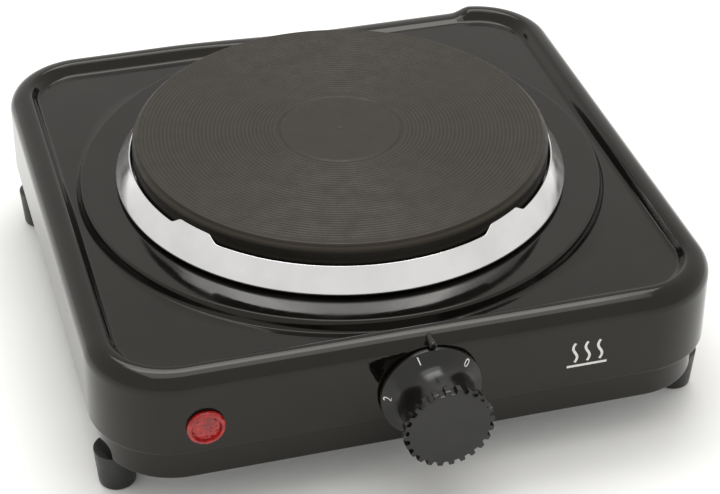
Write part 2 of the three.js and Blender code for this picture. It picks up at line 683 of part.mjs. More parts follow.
function makeControlBracket() {
  const halfX = CONTROL_WIDTH / 2 + FIT;
  const [low, high] = [STRAIGHT_WALL + FIT - KNOB_Z, CONTROL_BRACKET_RISE];
  const face = -SHEET - FIT;
  const back = face - BRACKET_SHEET;
  const legEnd = -CONTROL_STANDOFF - CONTROL_DEPTH + 3;
  const web = box(-halfX - BRACKET_SHEET, halfX + BRACKET_SHEET, low, high, back, face);
  const legs = [-1, 1].map((side) => {
    const [a, b] = [side * halfX, side * (halfX + BRACKET_SHEET)];
    return box(Math.min(a, b), Math.max(a, b), low, high, legEnd, face);
  });
  const holes = [-1, 1].map((side) => cylinder(SCREW_CLEAR, back - 1, face + 1, 16)
    .translate([(side * CONTROL_SCREW_SPACING) / 2, 0, 0]));
  return cut(join(web, ...legs), cylinder(BUSHING_RADIUS + FIT, back - 1, face + 1), ...holes);
}

function screw(tip, seat, segments = 16) {
  const out = Math.sign(seat - tip);
  const profile = [
    [0, tip],
    [SCREW_RADIUS, tip],
    [SCREW_RADIUS, seat],
    [SCREW_HEAD_RADIUS, seat],
    [SCREW_HEAD_RADIUS, seat + out * SCREW_HEAD_HEIGHT * 0.6],
    [SCREW_HEAD_RADIUS - 1, seat + out * SCREW_HEAD_HEIGHT],
    [0, seat + out * SCREW_HEAD_HEIGHT],
  ];
  return turned(profile, segments);
}

function makeControlGroup() {
  const group = wallGroup(TO_FRONT, KNOB_X, -HALF_DEPTH, KNOB_Z);
  const [halfX, halfY] = [CONTROL_WIDTH / 2, CONTROL_HEIGHT / 2];
  const front = -CONTROL_STANDOFF;
  const back = front - CONTROL_DEPTH;
  const blade = BLADE_WIDTH / 2;
  const ceramic = box(-halfX, halfX, -halfY, halfY, back, front);
  const shaftHole = cylinder(SHAFT_RADIUS + FIT, back - 1, front + 1);
  const under = -halfY - FIT;
  const over = halfY + FIT;
  const bimetal = box(-blade, blade, under - BIMETAL_SHEET, under, back - BLADE_REACH, front - 3);
  const contact = box(-blade, blade, over, over + CONTACT_SHEET, back, front - 3);
  const bushing = ring(SHAFT_RADIUS + SHAFT_RUNNING_GAP, BUSHING_RADIUS, front + FIT, KNOB_STANDOFF + 0.8);
  piece(group, "thermostat_body", cut(ceramic, shaftHole), MATERIALS.ceramic);
  piece(group, "thermostat_bracket", makeControlBracket(), MATERIALS.steel);
  piece(group, "thermostat_bushing", bushing, MATERIALS.brass);
  piece(group, "bimetal_blade", bimetal, MATERIALS.brass);
  piece(group, "contact_blade", contact, MATERIALS.brass);
  for (const [name, side] of [["left", -1], ["right", 1]]) {
    const x = side * CONTROL_TAB_X;
    const half = TAB_WIDTH / 2;
    const thick = TAB_THICKNESS / 2;
    piece(group, "thermostat_terminal_" + name,
      box(x - half, x + half, -thick, thick, back - FIT - TAB_LENGTH, back - FIT), MATERIALS.brass);
    piece(group, "thermostat_screw_" + name,
      screw(-SHEET - FIT - BRACKET_SHEET - 2, FIT).translate([(side * CONTROL_SCREW_SPACING) / 2, 0, 0]),
      MATERIALS.steel);
  }
  const pin = turned([
    [0, -5],
    [POINTER_RADIUS, -5],
    [POINTER_RADIUS, 0],
    [POINTER_RADIUS * 0.7, 0.7],
    [0, 0.9],
  ], 12);
  piece(group, "dial_pointer", pin.translate([0, DIAL_RADIUS + POINTER_LIFT, 0]), MATERIALS.blackPlastic);
  return group;
}

function makeKnobGroup() {
  const group = wallGroup(TO_FRONT, KNOB_X, -HALF_DEPTH, KNOB_Z);
  const clipTop = Math.sqrt((SHAFT_RADIUS + FIT) ** 2 - (CLIP_WIDTH / 2) ** 2) - FIT;
  piece(group, "knob", makeKnob(), MATERIALS.blackPlastic);
  piece(group, "thermostat_shaft", makeShaft(), MATERIALS.steel);
  const [clipStart, clipEnd] = [KNOB_STANDOFF + 3, KNOB_REACH - GRIP_LENGTH];
  const clip = box(-CLIP_WIDTH / 2, CLIP_WIDTH / 2, SHAFT_FLAT + FIT, clipTop, clipStart, clipEnd);
  piece(group, "knob_clip", clip, MATERIALS.steel);
  return group;
}

// ---------------------------------------------------------------- indicator lamp
function makeLampGroup() {
  const group = wallGroup(TO_FRONT, LAMP_X, -HALF_DEPTH, LAMP_Z);
  const bore = LAMP_BARREL - 0.9;
  const inner = LAMP_BARREL + FIT;
  const lens = turned([
    [0, 1.3],
    [LAMP_RADIUS - 1.5, 1.3],
    [LAMP_RADIUS - 1.2, 2.2],
    [LAMP_RADIUS - 0.5, 2.2],
    [LAMP_RADIUS, 1.6],
    [LAMP_RADIUS, FIT],
    [LAMP_BARREL, FIT],
    [LAMP_BARREL, -LAMP_BARREL_LENGTH],
    [bore, -LAMP_BARREL_LENGTH],
    [bore, 0.2],
    [0, 0.2],
  ], 18);
  piece(group, "lamp_lens", lens, MATERIALS.redLens);
  piece(group, "lamp_body", cylinder(bore - FIT, -LAMP_BODY_LENGTH, -FIT, 16), MATERIALS.ceramic);
  piece(group, "lamp_clip",
    ring(inner, inner + LAMP_CLIP_WIDTH, -SHEET - FIT - CLIP_SHEET, -SHEET - FIT), MATERIALS.steel);
  return group;
}

// ---------------------------------------------------------------- base, feet and earth screw
const FOOT_X = HALF_WIDTH - FOOT_INSET_X;
const FOOT_Y = HALF_DEPTH - FOOT_INSET_Y;
const FOOT_CORNERS = [
  ["front_left", -1, -1],
  ["front_right", 1, -1],
  ["rear_left", -1, 1],
  ["rear_right", 1, 1],
];

function bandOutline(inset) {
  return roundedRectangle(HALF_WIDTH - inset, HALF_DEPTH - inset, CORNER_RADIUS - inset);
}

function makeBaseCover() {
  const sheet = extruded(bandOutline(BAND_INNER + 0.5), BASE_UNDERSIDE, BASE_TOP, 4);
  const [halfX, halfY] = [VENT_WIDTH / 2, VENT_LENGTH / 2];
  const slot = extruded(roundedRectangle(halfX, halfY, halfX), BASE_UNDERSIDE - 1, BASE_TOP + 1, 2);
  const slots = [-1, 1].flatMap((row) => Array.from({ length: VENTS_PER_ROW }, (_, i) =>
    slot.translate([(i - (VENTS_PER_ROW - 1) / 2) * VENT_PITCH, row * VENT_LENGTH, 0])));
  const hole = cylinder(SCREW_CLEAR, BASE_UNDERSIDE - 1, BASE_TOP + 1, 10);
  const footHoles = FOOT_CORNERS.map(([, x, y]) => hole.translate([x * FOOT_X, y * FOOT_Y, 0]));
  return cut(sheet, ...slots, ...footHoles, hole.translate([EARTH_X, MAINS_Y, 0]));
}

function makeFoot() {
  const tip = FOOT_RADIUS - FOOT_TAPER;
  const top = FOOT_HEIGHT - FIT;
  const spigot = SCREW_CLEAR + FOOT_SPIGOT_WALL;
  return turned([
    [FOOT_RECESS_RADIUS, 0],
    [tip - FOOT_EDGE, 0],
    [tip - FOOT_EDGE * 0.3, FOOT_EDGE * 0.3],
    [tip, FOOT_EDGE],
    [FOOT_RADIUS, top],
    [spigot, top],
    [spigot, BASE_UNDERSIDE - FIT],
    [SCREW_CLEAR, BASE_UNDERSIDE - FIT],
    [SCREW_CLEAR, FOOT_RECESS_DEPTH],
    [FOOT_RECESS_RADIUS, FOOT_RECESS_DEPTH],
  ], 16);
}

// A bent tab welded inside the lower band: a foot for the screw and an upright leg on the side wall.
function makeBracket(sideX, sideY) {
  const edge = HALF_WIDTH - BAND_INNER - FIT;
  const span = (a, b, side) => (side > 0 ? [a, b] : [-b, -a]);
  const bottom = BASE_TOP + FIT;
  const sole = box(
    ...span(edge - 12, edge, sideX), ...span(FOOT_Y - 22, FOOT_Y + 6, sideY), bottom, bottom + BRACKET_SHEET,
  ).intersect(extruded(bandOutline(BAND_INNER + FIT), BOTTOM, DECK, 5));
  const leg = box(
    ...span(edge - BRACKET_SHEET, edge, sideX), ...span(FOOT_Y - 22, FOOT_Y - 8, sideY),
    bottom, bottom + BRACKET_HEIGHT,
  );
  const hole = cylinder(SCREW_CLEAR, BOTTOM, DECK, 12).translate([sideX * FOOT_X, sideY * FOOT_Y, 0]);
  return cut(join(sole, leg), hole);
}

function makeBaseGroup() {
  const group = new THREE.Group();
  piece(group, "base_cover", makeBaseCover(), MATERIALS.steel);
  for (const [name, x, y] of FOOT_CORNERS) {
    const corner = new THREE.Group();
    corner.position.set(x * FOOT_X, y * FOOT_Y, 0);
    piece(corner, "foot_" + name, makeFoot(), MATERIALS.rubber);
    const footScrew = screw(BASE_TOP + FIT + BRACKET_SHEET + 2, FOOT_RECESS_DEPTH - FIT, 10);
    piece(corner, "foot_screw_" + name, footScrew, MATERIALS.steel);
    group.add(corner);
    piece(group, "corner_bracket_" + name, makeBracket(x, y), MATERIALS.steel);
  }
  const nut = hexNut(SCREW_CLEAR, 7, BASE_TOP + FIT, BASE_TOP + FIT + 3).translate([EARTH_X, MAINS_Y, 0]);
  const earth = screw(BASE_TOP + 6, BASE_UNDERSIDE - FIT, 12).translate([EARTH_X, MAINS_Y, 0]);
  piece(group, "earth_screw", earth, MATERIALS.brass);
  piece(group, "earth_nut", nut, MATERIALS.brass);
  return group;
}

// ---------------------------------------------------------------- cord entry and wiring
function makeGland() {
  return turned([
    [GLAND_BORE, -SHEET - 3],
    [GLAND_NECK + 1.5, -SHEET - 3],
    [GLAND_NECK + 1.5, -SHEET - FIT],
    [GLAND_NECK, -SHEET - FIT],
    [GLAND_NECK, FIT],
    [GLAND_FLANGE, FIT],
    [GLAND_FLANGE, GLAND_REACH - 1],
    [GLAND_FLANGE - 1, GLAND_REACH],
    [GLAND_BORE, GLAND_REACH],
  ], 18);
}

function makeWiringGroup() {
  const group = new THREE.Group();
  const [blockX, blockY, blockZ] = MAINS_BLOCK;
  const bottom = BASE_TOP + FIT;
  const [x0, x1] = [MAINS_X - blockX / 2, MAINS_X + blockX / 2];
  const [y0, y1] = [MAINS_Y - blockY / 2, MAINS_Y + blockY / 2];
  const body = box(x0, x1, y0, y1, bottom, bottom + blockZ);
  const posts = [-1, 0, 1].map((i) => MAINS_X + (i * blockX) / 3.5);
  const top = bottom + blockZ + FIT;
  piece(group, "mains_block", body, MATERIALS.ceramic);

  const blockTop = PLATE_RIM_BOTTOM - INSULATION_THICKNESS - COVER_SHEET - 3 * FIT;
  const blockBottom = blockTop - BLOCK_HEIGHT;
  const tabZ = blockBottom + BLOCK_HEIGHT / 2 + TAB_THICKNESS / 2;
  const tabX = BLOCK_WIDTH / 2 + FIT + TAB_LENGTH + FIT;
  const controlBack = -HALF_DEPTH + CONTROL_STANDOFF + CONTROL_DEPTH;
  const controlTab = controlBack + TAB_LENGTH + 2 * FIT;
  const controlX = CONTROL_TAB_X;
  const bladeEnd = controlBack + BLADE_REACH;
  const bladeZ = KNOB_Z - CONTROL_HEIGHT / 2 - FIT - BIMETAL_SHEET / 2;
  const lampBack = -HALF_DEPTH + LAMP_BODY_LENGTH + FIT;
  const low = BOTTOM + 12; // height of the wires that cross the base
  const outside = SHIELD_RADIUS + 9;
  const wire = (name, points, finish) => piece(group, name, tube(points, WIRE_RADIUS, 14), finish);
  wire("wire_live_in", [
    [posts[1], MAINS_Y, top], [posts[1], MAINS_Y, top + 2], [posts[1], 0, low],
    [KNOB_X - controlX - 4, -50, low],
    [KNOB_X - controlX, controlTab + 6, KNOB_Z - 2], [KNOB_X - controlX, controlTab, KNOB_Z],
  ], MATERIALS.wireLive);
  wire("wire_live_plate", [
    [KNOB_X + controlX, controlTab, KNOB_Z], [KNOB_X + controlX + 1, controlTab + 6, KNOB_Z],
    [outside * 0.4, -outside * 0.95, KNOB_Z + 6], [tabX + 10, -COIL_INNER - 14, tabZ - 2],
    [tabX + 6, -COIL_INNER, tabZ], [tabX, -COIL_INNER, tabZ],
  ], MATERIALS.wireLive);
  wire("wire_neutral", [
    [posts[0], MAINS_Y, top], [posts[0], MAINS_Y, top + 2], [-outside * 0.8, outside * 0.6, low + 4],
    [-outside, 0, low + 8], [-outside * 0.8, -outside * 0.6, KNOB_Z + 4],
    [-tabX - 6, -COIL_OUTER + 4, tabZ], [-tabX, -COIL_OUTER + 4, tabZ],
  ], MATERIALS.wireNeutral);
  wire("wire_lamp_live", [
    [LAMP_X + 2, lampBack, LAMP_Z], [LAMP_X + 2, lampBack + 3, LAMP_Z],
    [LAMP_X + 5, lampBack + 8, LAMP_Z - 4], [KNOB_X - 20, bladeEnd + 3, bladeZ - 0.4],
    [KNOB_X - 6, bladeEnd + 6, bladeZ], [KNOB_X, bladeEnd + 4, bladeZ], [KNOB_X, bladeEnd + FIT, bladeZ],
  ], MATERIALS.wireLive);
  wire("wire_lamp_neutral", [
    [LAMP_X - 2, lampBack, LAMP_Z], [LAMP_X - 2, lampBack + 3, LAMP_Z],
    [LAMP_X - 6, lampBack + 10, LAMP_Z - 4], [-outside - 14, 0, low - 2],
    [-outside - 6, MAINS_Y - 30, low - 4], [posts[2] + 4, MAINS_Y - 16, low - 2],
    [posts[2], MAINS_Y - 6, top + 4], [posts[2], MAINS_Y, top + 3], [posts[2], MAINS_Y, top],
  ], MATERIALS.wireNeutral);
  const side = x1 + FIT;
  const earthZ = bottom + 3 + WIRE_RADIUS + FIT;
  wire("wire_earth", [
    [side, MAINS_Y, earthZ], [side + 2, MAINS_Y, earthZ], [side + 4, MAINS_Y - 1, earthZ],
    [EARTH_X - 5, MAINS_Y, earthZ],
    [EARTH_X - SCREW_RADIUS - FIT, MAINS_Y, earthZ],
  ], MATERIALS.wireEarth);
  return group;
}

// ---------------------------------------------------------------- the whole object
const housingGroup = new THREE.Group();
piece(housingGroup, "housing", makeHousing(), MATERIALS.enamel);
const glandGroup = wallGroup(TO_REAR, GLAND_X, HALF_DEPTH, GLAND_Z);
piece(glandGroup, "cord_gland", makeGland(), MATERIALS.rubber);
root.add(
  housingGroup,
  makePlateGroup(),
  makeControlGroup(),
  makeKnobGroup(),
  makeLampGroup(),
  makeBaseGroup(),
  makeWiringGroup(),
  glandGroup,
);

export default root;
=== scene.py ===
import json
import math

import bmesh
import bpy
import numpy as np
from mathutils import Euler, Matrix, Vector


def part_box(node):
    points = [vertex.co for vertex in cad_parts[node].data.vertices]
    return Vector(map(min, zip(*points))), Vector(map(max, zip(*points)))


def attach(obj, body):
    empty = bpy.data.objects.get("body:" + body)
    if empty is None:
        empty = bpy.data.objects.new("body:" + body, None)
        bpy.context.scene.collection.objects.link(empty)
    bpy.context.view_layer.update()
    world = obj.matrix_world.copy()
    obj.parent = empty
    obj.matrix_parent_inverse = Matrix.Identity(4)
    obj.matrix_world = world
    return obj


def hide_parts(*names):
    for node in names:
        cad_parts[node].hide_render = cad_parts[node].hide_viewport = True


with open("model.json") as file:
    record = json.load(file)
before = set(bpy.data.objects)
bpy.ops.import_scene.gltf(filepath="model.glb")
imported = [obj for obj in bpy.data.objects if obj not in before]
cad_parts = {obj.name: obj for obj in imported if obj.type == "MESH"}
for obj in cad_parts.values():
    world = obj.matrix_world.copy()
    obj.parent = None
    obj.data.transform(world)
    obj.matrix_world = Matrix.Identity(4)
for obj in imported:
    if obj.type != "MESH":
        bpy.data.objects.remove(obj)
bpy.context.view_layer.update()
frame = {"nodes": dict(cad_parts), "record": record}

# ------------------------------------------------------------------ housing
# One deep-drawn sheet steel shell: walls, a rolled rim round the top, a sunken deck and a round plateau with
# the opening for the plate. The whole of it is dipped in glossy black enamel and fired.
MM = 0.001
housing_low, housing_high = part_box("housing")
HALF_WIDTH = (housing_high.x - housing_low.x) / 2 / MM
HALF_DEPTH = (housing_high.y - housing_low.y) / 2 / MM
BODY_Y = (housing_high.y + housing_low.y) / 2 / MM
BOTTOM = housing_low.z / MM
CREST = housing_high.z / MM
FRONT_WALL = housing_low.y / MM
REAR_WALL = housing_high.y / MM
CORNER = 30.0
SHEET = 1.2
WALL_STEP = 3.4  # how far the lower band of the wall stands in
STEP_HEIGHT = 12.0  # middle of the step above the bottom edge
STEP_BLEND = 3.2
SHOULDER = 6.6
RIM_WIDTH = 12.1
RIM_HEIGHT = 4.3
RIM_CREST_RADIUS = 2.5
RIM_FOOT_RADIUS = 2.0
RIM_SLOPE = math.radians(60)
DECK = CREST - RIM_HEIGHT
PLATEAU_RISE = 3.4
PLATEAU = DECK + PLATEAU_RISE
PLATEAU_FOOT = 99.3
PLATEAU_TOP = 97.0
OPENING = 68.0
PLATEAU_LEVEL = 84.0  # the plateau is level inside this radius and rises a little outside it
PLATEAU_DISH = 0.4
DIP_START = (-45.0, 75.0)  # the rear rim sinks slowly from here over this length
DIP_END = (79.0, 8.0)  # and rises quickly from here
DIP_DEPTH = 3.0


def arc(across, up, radius, start, end, steps):
    """Points on a circle about (across, up), from one angle to another, in degrees."""
    angle = np.radians(np.linspace(start, end, steps + 1))
    return np.stack([across + radius * np.cos(angle), up + radius * np.sin(angle)], -1)


def smooth(share):
    """0 below 0, 1 above 1, and an S-shaped cubic in between."""
    share = np.clip(share, 0, 1)
    return share * share * (3 - 2 * share)


def mesh_of(name, points, faces, crease=38):
    """A mesh from points in millimetres and faces, with equal points merged, faces turned outwards, and
    smooth shading except where two faces meet at more than the crease angle in degrees."""
    mesh = bpy.data.meshes.new(name)
    mesh.from_pydata((np.asarray(points) * MM).tolist(), [], np.asarray(faces).tolist())
    editing = bmesh.new()
    editing.from_mesh(mesh)
    bmesh.ops.remove_doubles(editing, verts=editing.verts, dist=1e-7)
    bmesh.ops.recalc_face_normals(editing, faces=editing.faces)
    editing.to_mesh(mesh)
    editing.free()
    mesh.shade_smooth()
    mesh.set_sharp_from_angle(angle=math.radians(crease))
    return mesh


def skin(name, grid, closed=False, crease=38):
    """A mesh over a grid of points [row, column, xyz]. Each row closes on itself, and so does each column
    where closed is set; a row that is all one point becomes a pole."""
    rows, columns = grid.shape[:2]
    index = np.arange(rows * columns).reshape(rows, columns)
    ahead = np.roll(index, -1, axis=0)
    if not closed:
        index, ahead = index[:-1], ahead[:-1]
    faces = np.stack([index, np.roll(index, -1, 1), np.roll(ahead, -1, 1), ahead], -1)
    return mesh_of(name, grid.reshape(-1, 3), faces.reshape(-1, 4), crease)


def show(name, mesh, body, finish, replaced=()):
    """The mesh as a piece that rides on a body, with its finish, and with the nodes it replaces hidden."""
    piece = bpy.data.objects.new(name, mesh)
    bpy.context.scene.collection.objects.link(piece)
    mesh.materials.append(finish)
    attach(piece, body)
    if replaced:
        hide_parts(*replaced)
    return piece


def wall_path(per_side, per_corner):
    """Points and outward directions round the rounded square: each corner is a quarter turn about its own
    centre, and an evenly divided straight side joins it to the next corner."""
    centres = (np.array([HALF_WIDTH, HALF_DEPTH]) - CORNER) * [[1, 1], [-1, 1], [-1, -1], [1, -1]]
    turn = np.linspace(0, np.pi / 2, per_corner + 1)
    share = np.linspace(0, 1, per_side + 1)[1:-1, None]
    points, outward = [], []
    for quarter, centre in enumerate(centres):
        angle = turn + quarter * np.pi / 2
        way = np.stack([np.cos(angle), np.sin(angle)], -1)
        end = centre + CORNER * way[-1]
        start = centres[(quarter + 1) % 4] + CORNER * way[-1]
        points += [centre + CORNER * way, end + (start - end) * share]
        outward += [way, np.repeat(way[-1:], len(share), 0)]
    return np.vstack(points), np.vstack(outward)


def wall_rows(inside):
    """Rows of [inset, height, share of the dip] from above the hem to the deck: the lower band, an S-shaped
    step, the straight wall, the shoulder's quarter circle, the rim's crest and slope, and its foot."""
    blend = (RIM_CREST_RADIUS + RIM_FOOT_RADIUS) * math.sin(RIM_SLOPE)
    fall = RIM_HEIGHT - (RIM_CREST_RADIUS + RIM_FOOT_RADIUS) * (1 - math.cos(RIM_SLOPE))
    crest_end = RIM_WIDTH - blend - fall / math.tan(RIM_SLOPE)
    slope = 90 - math.degrees(RIM_SLOPE)
    t = np.linspace(0, 1, 11)
    step_low = BOTTOM + STEP_HEIGHT - STEP_BLEND / 2
    band = np.stack([np.full(6, WALL_STEP + inside), np.linspace(BOTTOM + SHEET, step_low - 0.5, 6)], -1)
    step = np.stack([inside + WALL_STEP * (1 + np.cos(np.pi * t)) / 2, step_low + STEP_BLEND * t], -1)
    straight = np.linspace(step_low + STEP_BLEND + 0.6, CREST - SHOULDER - 0.6, 9)
    outer = np.vstack([
        band,
        step,
        np.stack([np.full(9, inside), straight], -1),
        arc(SHOULDER, CREST - SHOULDER, SHOULDER - inside, 180, 90, 12),
    ])
    inner = np.vstack([
        arc(crest_end, CREST - RIM_CREST_RADIUS, RIM_CREST_RADIUS - inside, 90, slope, 8),
        arc(RIM_WIDTH, DECK + RIM_FOOT_RADIUS, RIM_FOOT_RADIUS + inside, slope + 180, 270, 8),
    ])
    outer_share = (outer[:, 1:] - CREST + SHOULDER) / (SHOULDER - inside)
    inner_share = (inner[:, 1:] - DECK + inside) / RIM_HEIGHT
    return np.vstack([np.hstack([outer, outer_share]), np.hstack([inner, inner_share])])


def deck_rows(edge):
    """Rows of [radius along each ray, height] from the rim's foot to the opening: level to the plateau's
    foot, an S-shaped rise, a shallow dish, and level to the rounded edge of the opening."""
    level = np.linspace(0, 1, 7)[1:, None]
    t = np.linspace(0, 1, 15)[1:]
    rise = PLATEAU_FOOT + (PLATEAU_TOP - PLATEAU_FOOT) * t
    height = DECK + (PLATEAU_RISE + PLATEAU_DISH) * (1 - np.cos(np.pi * t)) / 2
    flat = np.array([96.4, 95.6, 94, 91, 87, 83, 79, 75, 71.5, 69.6, 68.9])
    lip = arc(OPENING + SHEET / 2, PLATEAU - SHEET / 2, SHEET / 2, 90, 180, 4)
    radii = np.vstack([edge + (PLATEAU_FOOT - edge) * level] + [
        np.broadcast_to(r, (len(r), len(edge))) for r in (rise[:, None], flat[:, None], lip[:, :1])
    ])
    dish = PLATEAU_DISH * np.clip((flat - PLATEAU_LEVEL) / (PLATEAU_TOP - PLATEAU_LEVEL), 0, 1)
    heights = np.concatenate([np.full(len(level), DECK), height, PLATEAU + dish, lip[:, 1]])
    return radii, heights


def housing_grid():
    """Both skins as one closed grid. A wall row is the path moved inwards by its inset; a deck row lies on
    the rays from the middle through the rim's foot. The rear rim sinks by an S-shaped dip at each end."""
    path, outward = wall_path(110, 24)
    foot = path - RIM_WIDTH * outward
    reach = np.linalg.norm(foot, axis=1)
    ray = foot / reach[:, None]
    sunk = smooth((path[:, 0] - DIP_START[0]) / DIP_START[1])
    risen = smooth((path[:, 0] - DIP_END[0]) / DIP_END[1])
    dip = (sunk - risen) * DIP_DEPTH * (path[:, 1] > 0)

    def wall(rows):
        """Rows round the path, each moved inwards by its inset and lowered by its share of the dip."""
        flat = path - rows[:, None, :1] * outward
        height = rows[:, None, 1] - np.clip(rows[:, None, 2], 0, 1) * dip
        return np.concatenate([flat, height[:, :, None]], 2)

    def deck(radii, heights):
        """Rows on the rays from the middle, each at its radii and its one height."""
        flat = radii[:, :, None] * ray
        return np.concatenate([flat, np.broadcast_to(heights[:, None, None], (*radii.shape, 1))], 2)

    hem_centre = (WALL_STEP + SHEET / 2, BOTTOM + SHEET / 2)
    hem = np.hstack([arc(*hem_centre, SHEET / 2, 270, 180, 4), np.zeros((5, 1))])
    hem_inside = np.hstack([arc(*hem_centre, SHEET / 2, 0, -90, 4)[:-1], np.zeros((4, 1))])
    outer_radii, outer_heights = deck_rows(reach)
    inner_radii = outer_radii[:-5][::-1]
    inner_heights = outer_heights[:-5][::-1] - SHEET
    lip_under = arc(OPENING + SHEET / 2, PLATEAU - SHEET / 2, SHEET / 2, 180, 270, 4)[1:]
    under_radii = np.broadcast_to(lip_under[:, :1], (4, len(reach)))
    grid = np.concatenate([
        wall(hem),
        wall(wall_rows(0)),
        deck(outer_radii, outer_heights),
        deck(under_radii, lip_under[:, 1]),
        deck(inner_radii, inner_heights),
        wall(wall_rows(SHEET)[::-1]),
        wall(hem_inside),
    ])
    return grid + [0, BODY_Y, 0]


def new_material(name):
    """An empty node material: its tree, its shader and a maker of nodes, which sets properties by name and
    joins sockets given as outputs."""
    material = bpy.data.materials.new(name)
    material.use_nodes = True
    tree = material.node_tree
    tree.nodes.clear()
    shader = tree.nodes.new("ShaderNodeBsdfPrincipled")
    output = tree.nodes.new("ShaderNodeOutputMaterial")
    tree.links.new(shader.outputs[0], output.inputs["Surface"])

    def node(kind, inputs=None, **settings):
        """A node of a kind, with its settings, and its inputs given as values or as outputs to join."""
        made = tree.nodes.new(kind)
        for key, value in settings.items():
            setattr(made, key, value)
        for key, value in (inputs or {}).items():
            if isinstance(value, bpy.types.NodeSocket):
                tree.links.new(value, made.inputs[key])
            else:
                made.inputs[key].default_value = value
        return made

    return material, tree, shader, node


def noise(node, where, size, detail=3.0, roughness=0.55):
    """Cloudy noise whose patches are about the given size in millimetres."""
    scale = 1 / (size * MM)
    inputs = {"Vector": where, "Scale": scale, "Detail": detail, "Roughness": roughness}
    return node("ShaderNodeTexNoise", inputs).outputs["Fac"]


def spread(node, value, low, high, start=0.35, end=0.65):
    """Value stretched so that start to end becomes low to high."""
    inputs = {"Value": value, "From Min": start, "From Max": end, "To Min": low, "To Max": high}
    return node("ShaderNodeMapRange", inputs).outputs["Result"]


def two_tone(node, share, first, second):
    """A colour between two, by share."""
    mix = node("ShaderNodeMix", {"Factor": share}, data_type="RGBA")
    mix.inputs["A"].default_value = (*first, 1)
    mix.inputs["B"].default_value = (*second, 1)
    return mix.outputs["Result"]


def set_shader(tree, shader, **sockets):
    """Shader sockets by name, with underscores for spaces, as numbers, colours or links."""
    for key, value in sockets.items():
        socket = shader.inputs[key.replace("_", " ")]
        if isinstance(value, bpy.types.NodeSocket):
            tree.links.new(value, socket)
        elif isinstance(value, tuple) and len(value) == 3:
            socket.default_value = (*value, 1) if socket.type == "RGBA" else value
        else:
            socket.default_value = value


def worked_finish(name, tones, patch, gloss, gloss_patch, relief, relief_size, **sockets):
    """The usual finish: two tones in patches, gloss that wanders between two roughnesses, and a fine relief
    of the given height. Sizes are in millimetres."""
    material, tree, shader, node = new_material(name)
    where = node("ShaderNodeTexCoord").outputs["Object"]
    colour = two_tone(node, spread(node, noise(node, where, patch), 0, 1), *tones)
    roughness = spread(node, noise(node, where, gloss_patch), *gloss)
    bump = node("ShaderNodeBump", {
        "Height": noise(node, where, relief_size, 2.0),
        "Distance": relief * MM,
        "Strength": 1.0,
    })
    set_shader(tree, shader, Base_Color=colour, Roughness=roughness, Normal=bump.outputs[0], **sockets)
    return material


# The enamel flows a little as it melts, so it has a faint wide ripple, and handling dulls it in patches.
enamel = worked_finish(
    "gloss_enamel",
    tones=((0.0025, 0.0023, 0.002), (0.0045, 0.0042, 0.0036)),
    patch=30,
    gloss=(0.05, 0.11),
    gloss_patch=18,
    relief=0.012,
    relief_size=4.0,
    Specular_IOR_Level=0.37,
    Specular_Tint=(1.0, 0.98, 0.9),
)
shell = skin("housing_shell", housing_grid(), closed=True)
show("housing_shell", shell, "base", enamel, ["housing"])

# ------------------------------------------------------------------ plate
# A turned grey iron casting, black from use and heat-proof varnish, with fine concentric ribs on its top, a
# plain disc in the middle and a bevelled edge. A ring and a boss underneath seat it and take its stud.
plate_low, plate_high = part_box("hot_plate")
PLATE_RADIUS = (plate_high.x - plate_low.x) / 2 / MM
PLATE_TOP = plate_high.z / MM
PLATE_EDGE = 9.5
PLATE_CHAMFER = 2.0
DISC_RADIUS = 23.0  # the ring line round the plain disc
RIB_PITCH = 1.45
RIB_DEPTH = 0.2
RIBS_START = DISC_RADIUS + 1.0
RIBS_END = PLATE_RADIUS - PLATE_CHAMFER - 1.2
PLATE_RIM = (66.0, 73.0)
PLATE_RIM_BOTTOM = PLATEAU + 1.2
PLATE_CEILING = PLATE_TOP - 5.0
BOSS_RADIUS = 12.0
BOSS_BOTTOM = plate_low.z / MM


def rounded(corners, steps=5):
    """A profile through corners of [across, up, radius]: each inner corner becomes a short parabola that
    leaves and joins its two sides one radius from the corner."""
    corners = np.array(corners, float)
    t = np.linspace(0, 1, steps + 1)[:, None]
    points = [corners[:1, :2]]
    for before, here, after in zip(corners[:-2], corners[1:-1], corners[2:]):
        corner, radius = here[:2], here[2]
        back, ahead = before[:2] - corner, after[:2] - corner
        start = corner + back * min(radius / np.linalg.norm(back), 0.5)
        end = corner + ahead * min(radius / np.linalg.norm(ahead), 0.5)
        bend = (1 - t) ** 2 * start + 2 * t * (1 - t) * corner + t**2 * end
        points.append(bend if radius else corner[None])
    return np.vstack([*points, corners[-1:, :2]])


def divided(profile, longest):
    """The profile with extra points, so that no straight stretch is longer than the given length."""
    spans = np.diff(profile, axis=0)
    counts = np.maximum(np.ceil(np.linalg.norm(spans, axis=1) / longest), 1).astype(int)
    start = np.repeat(profile[:-1], counts, axis=0)
    share = np.concatenate([np.arange(n) / n for n in counts])[:, None]
    return np.vstack([start + np.repeat(spans, counts, axis=0) * share, profile[-1:]])


def turned(profile, columns=160):
    """A grid from a profile of [radius, height] turned about the vertical axis."""
    angle = np.linspace(0, 2 * np.pi, columns, endpoint=False)
    radius, height = profile[:, :1], profile[:, 1:]
    return np.stack([radius * np.cos(angle), radius * np.sin(angle), height + 0 * angle], -1)


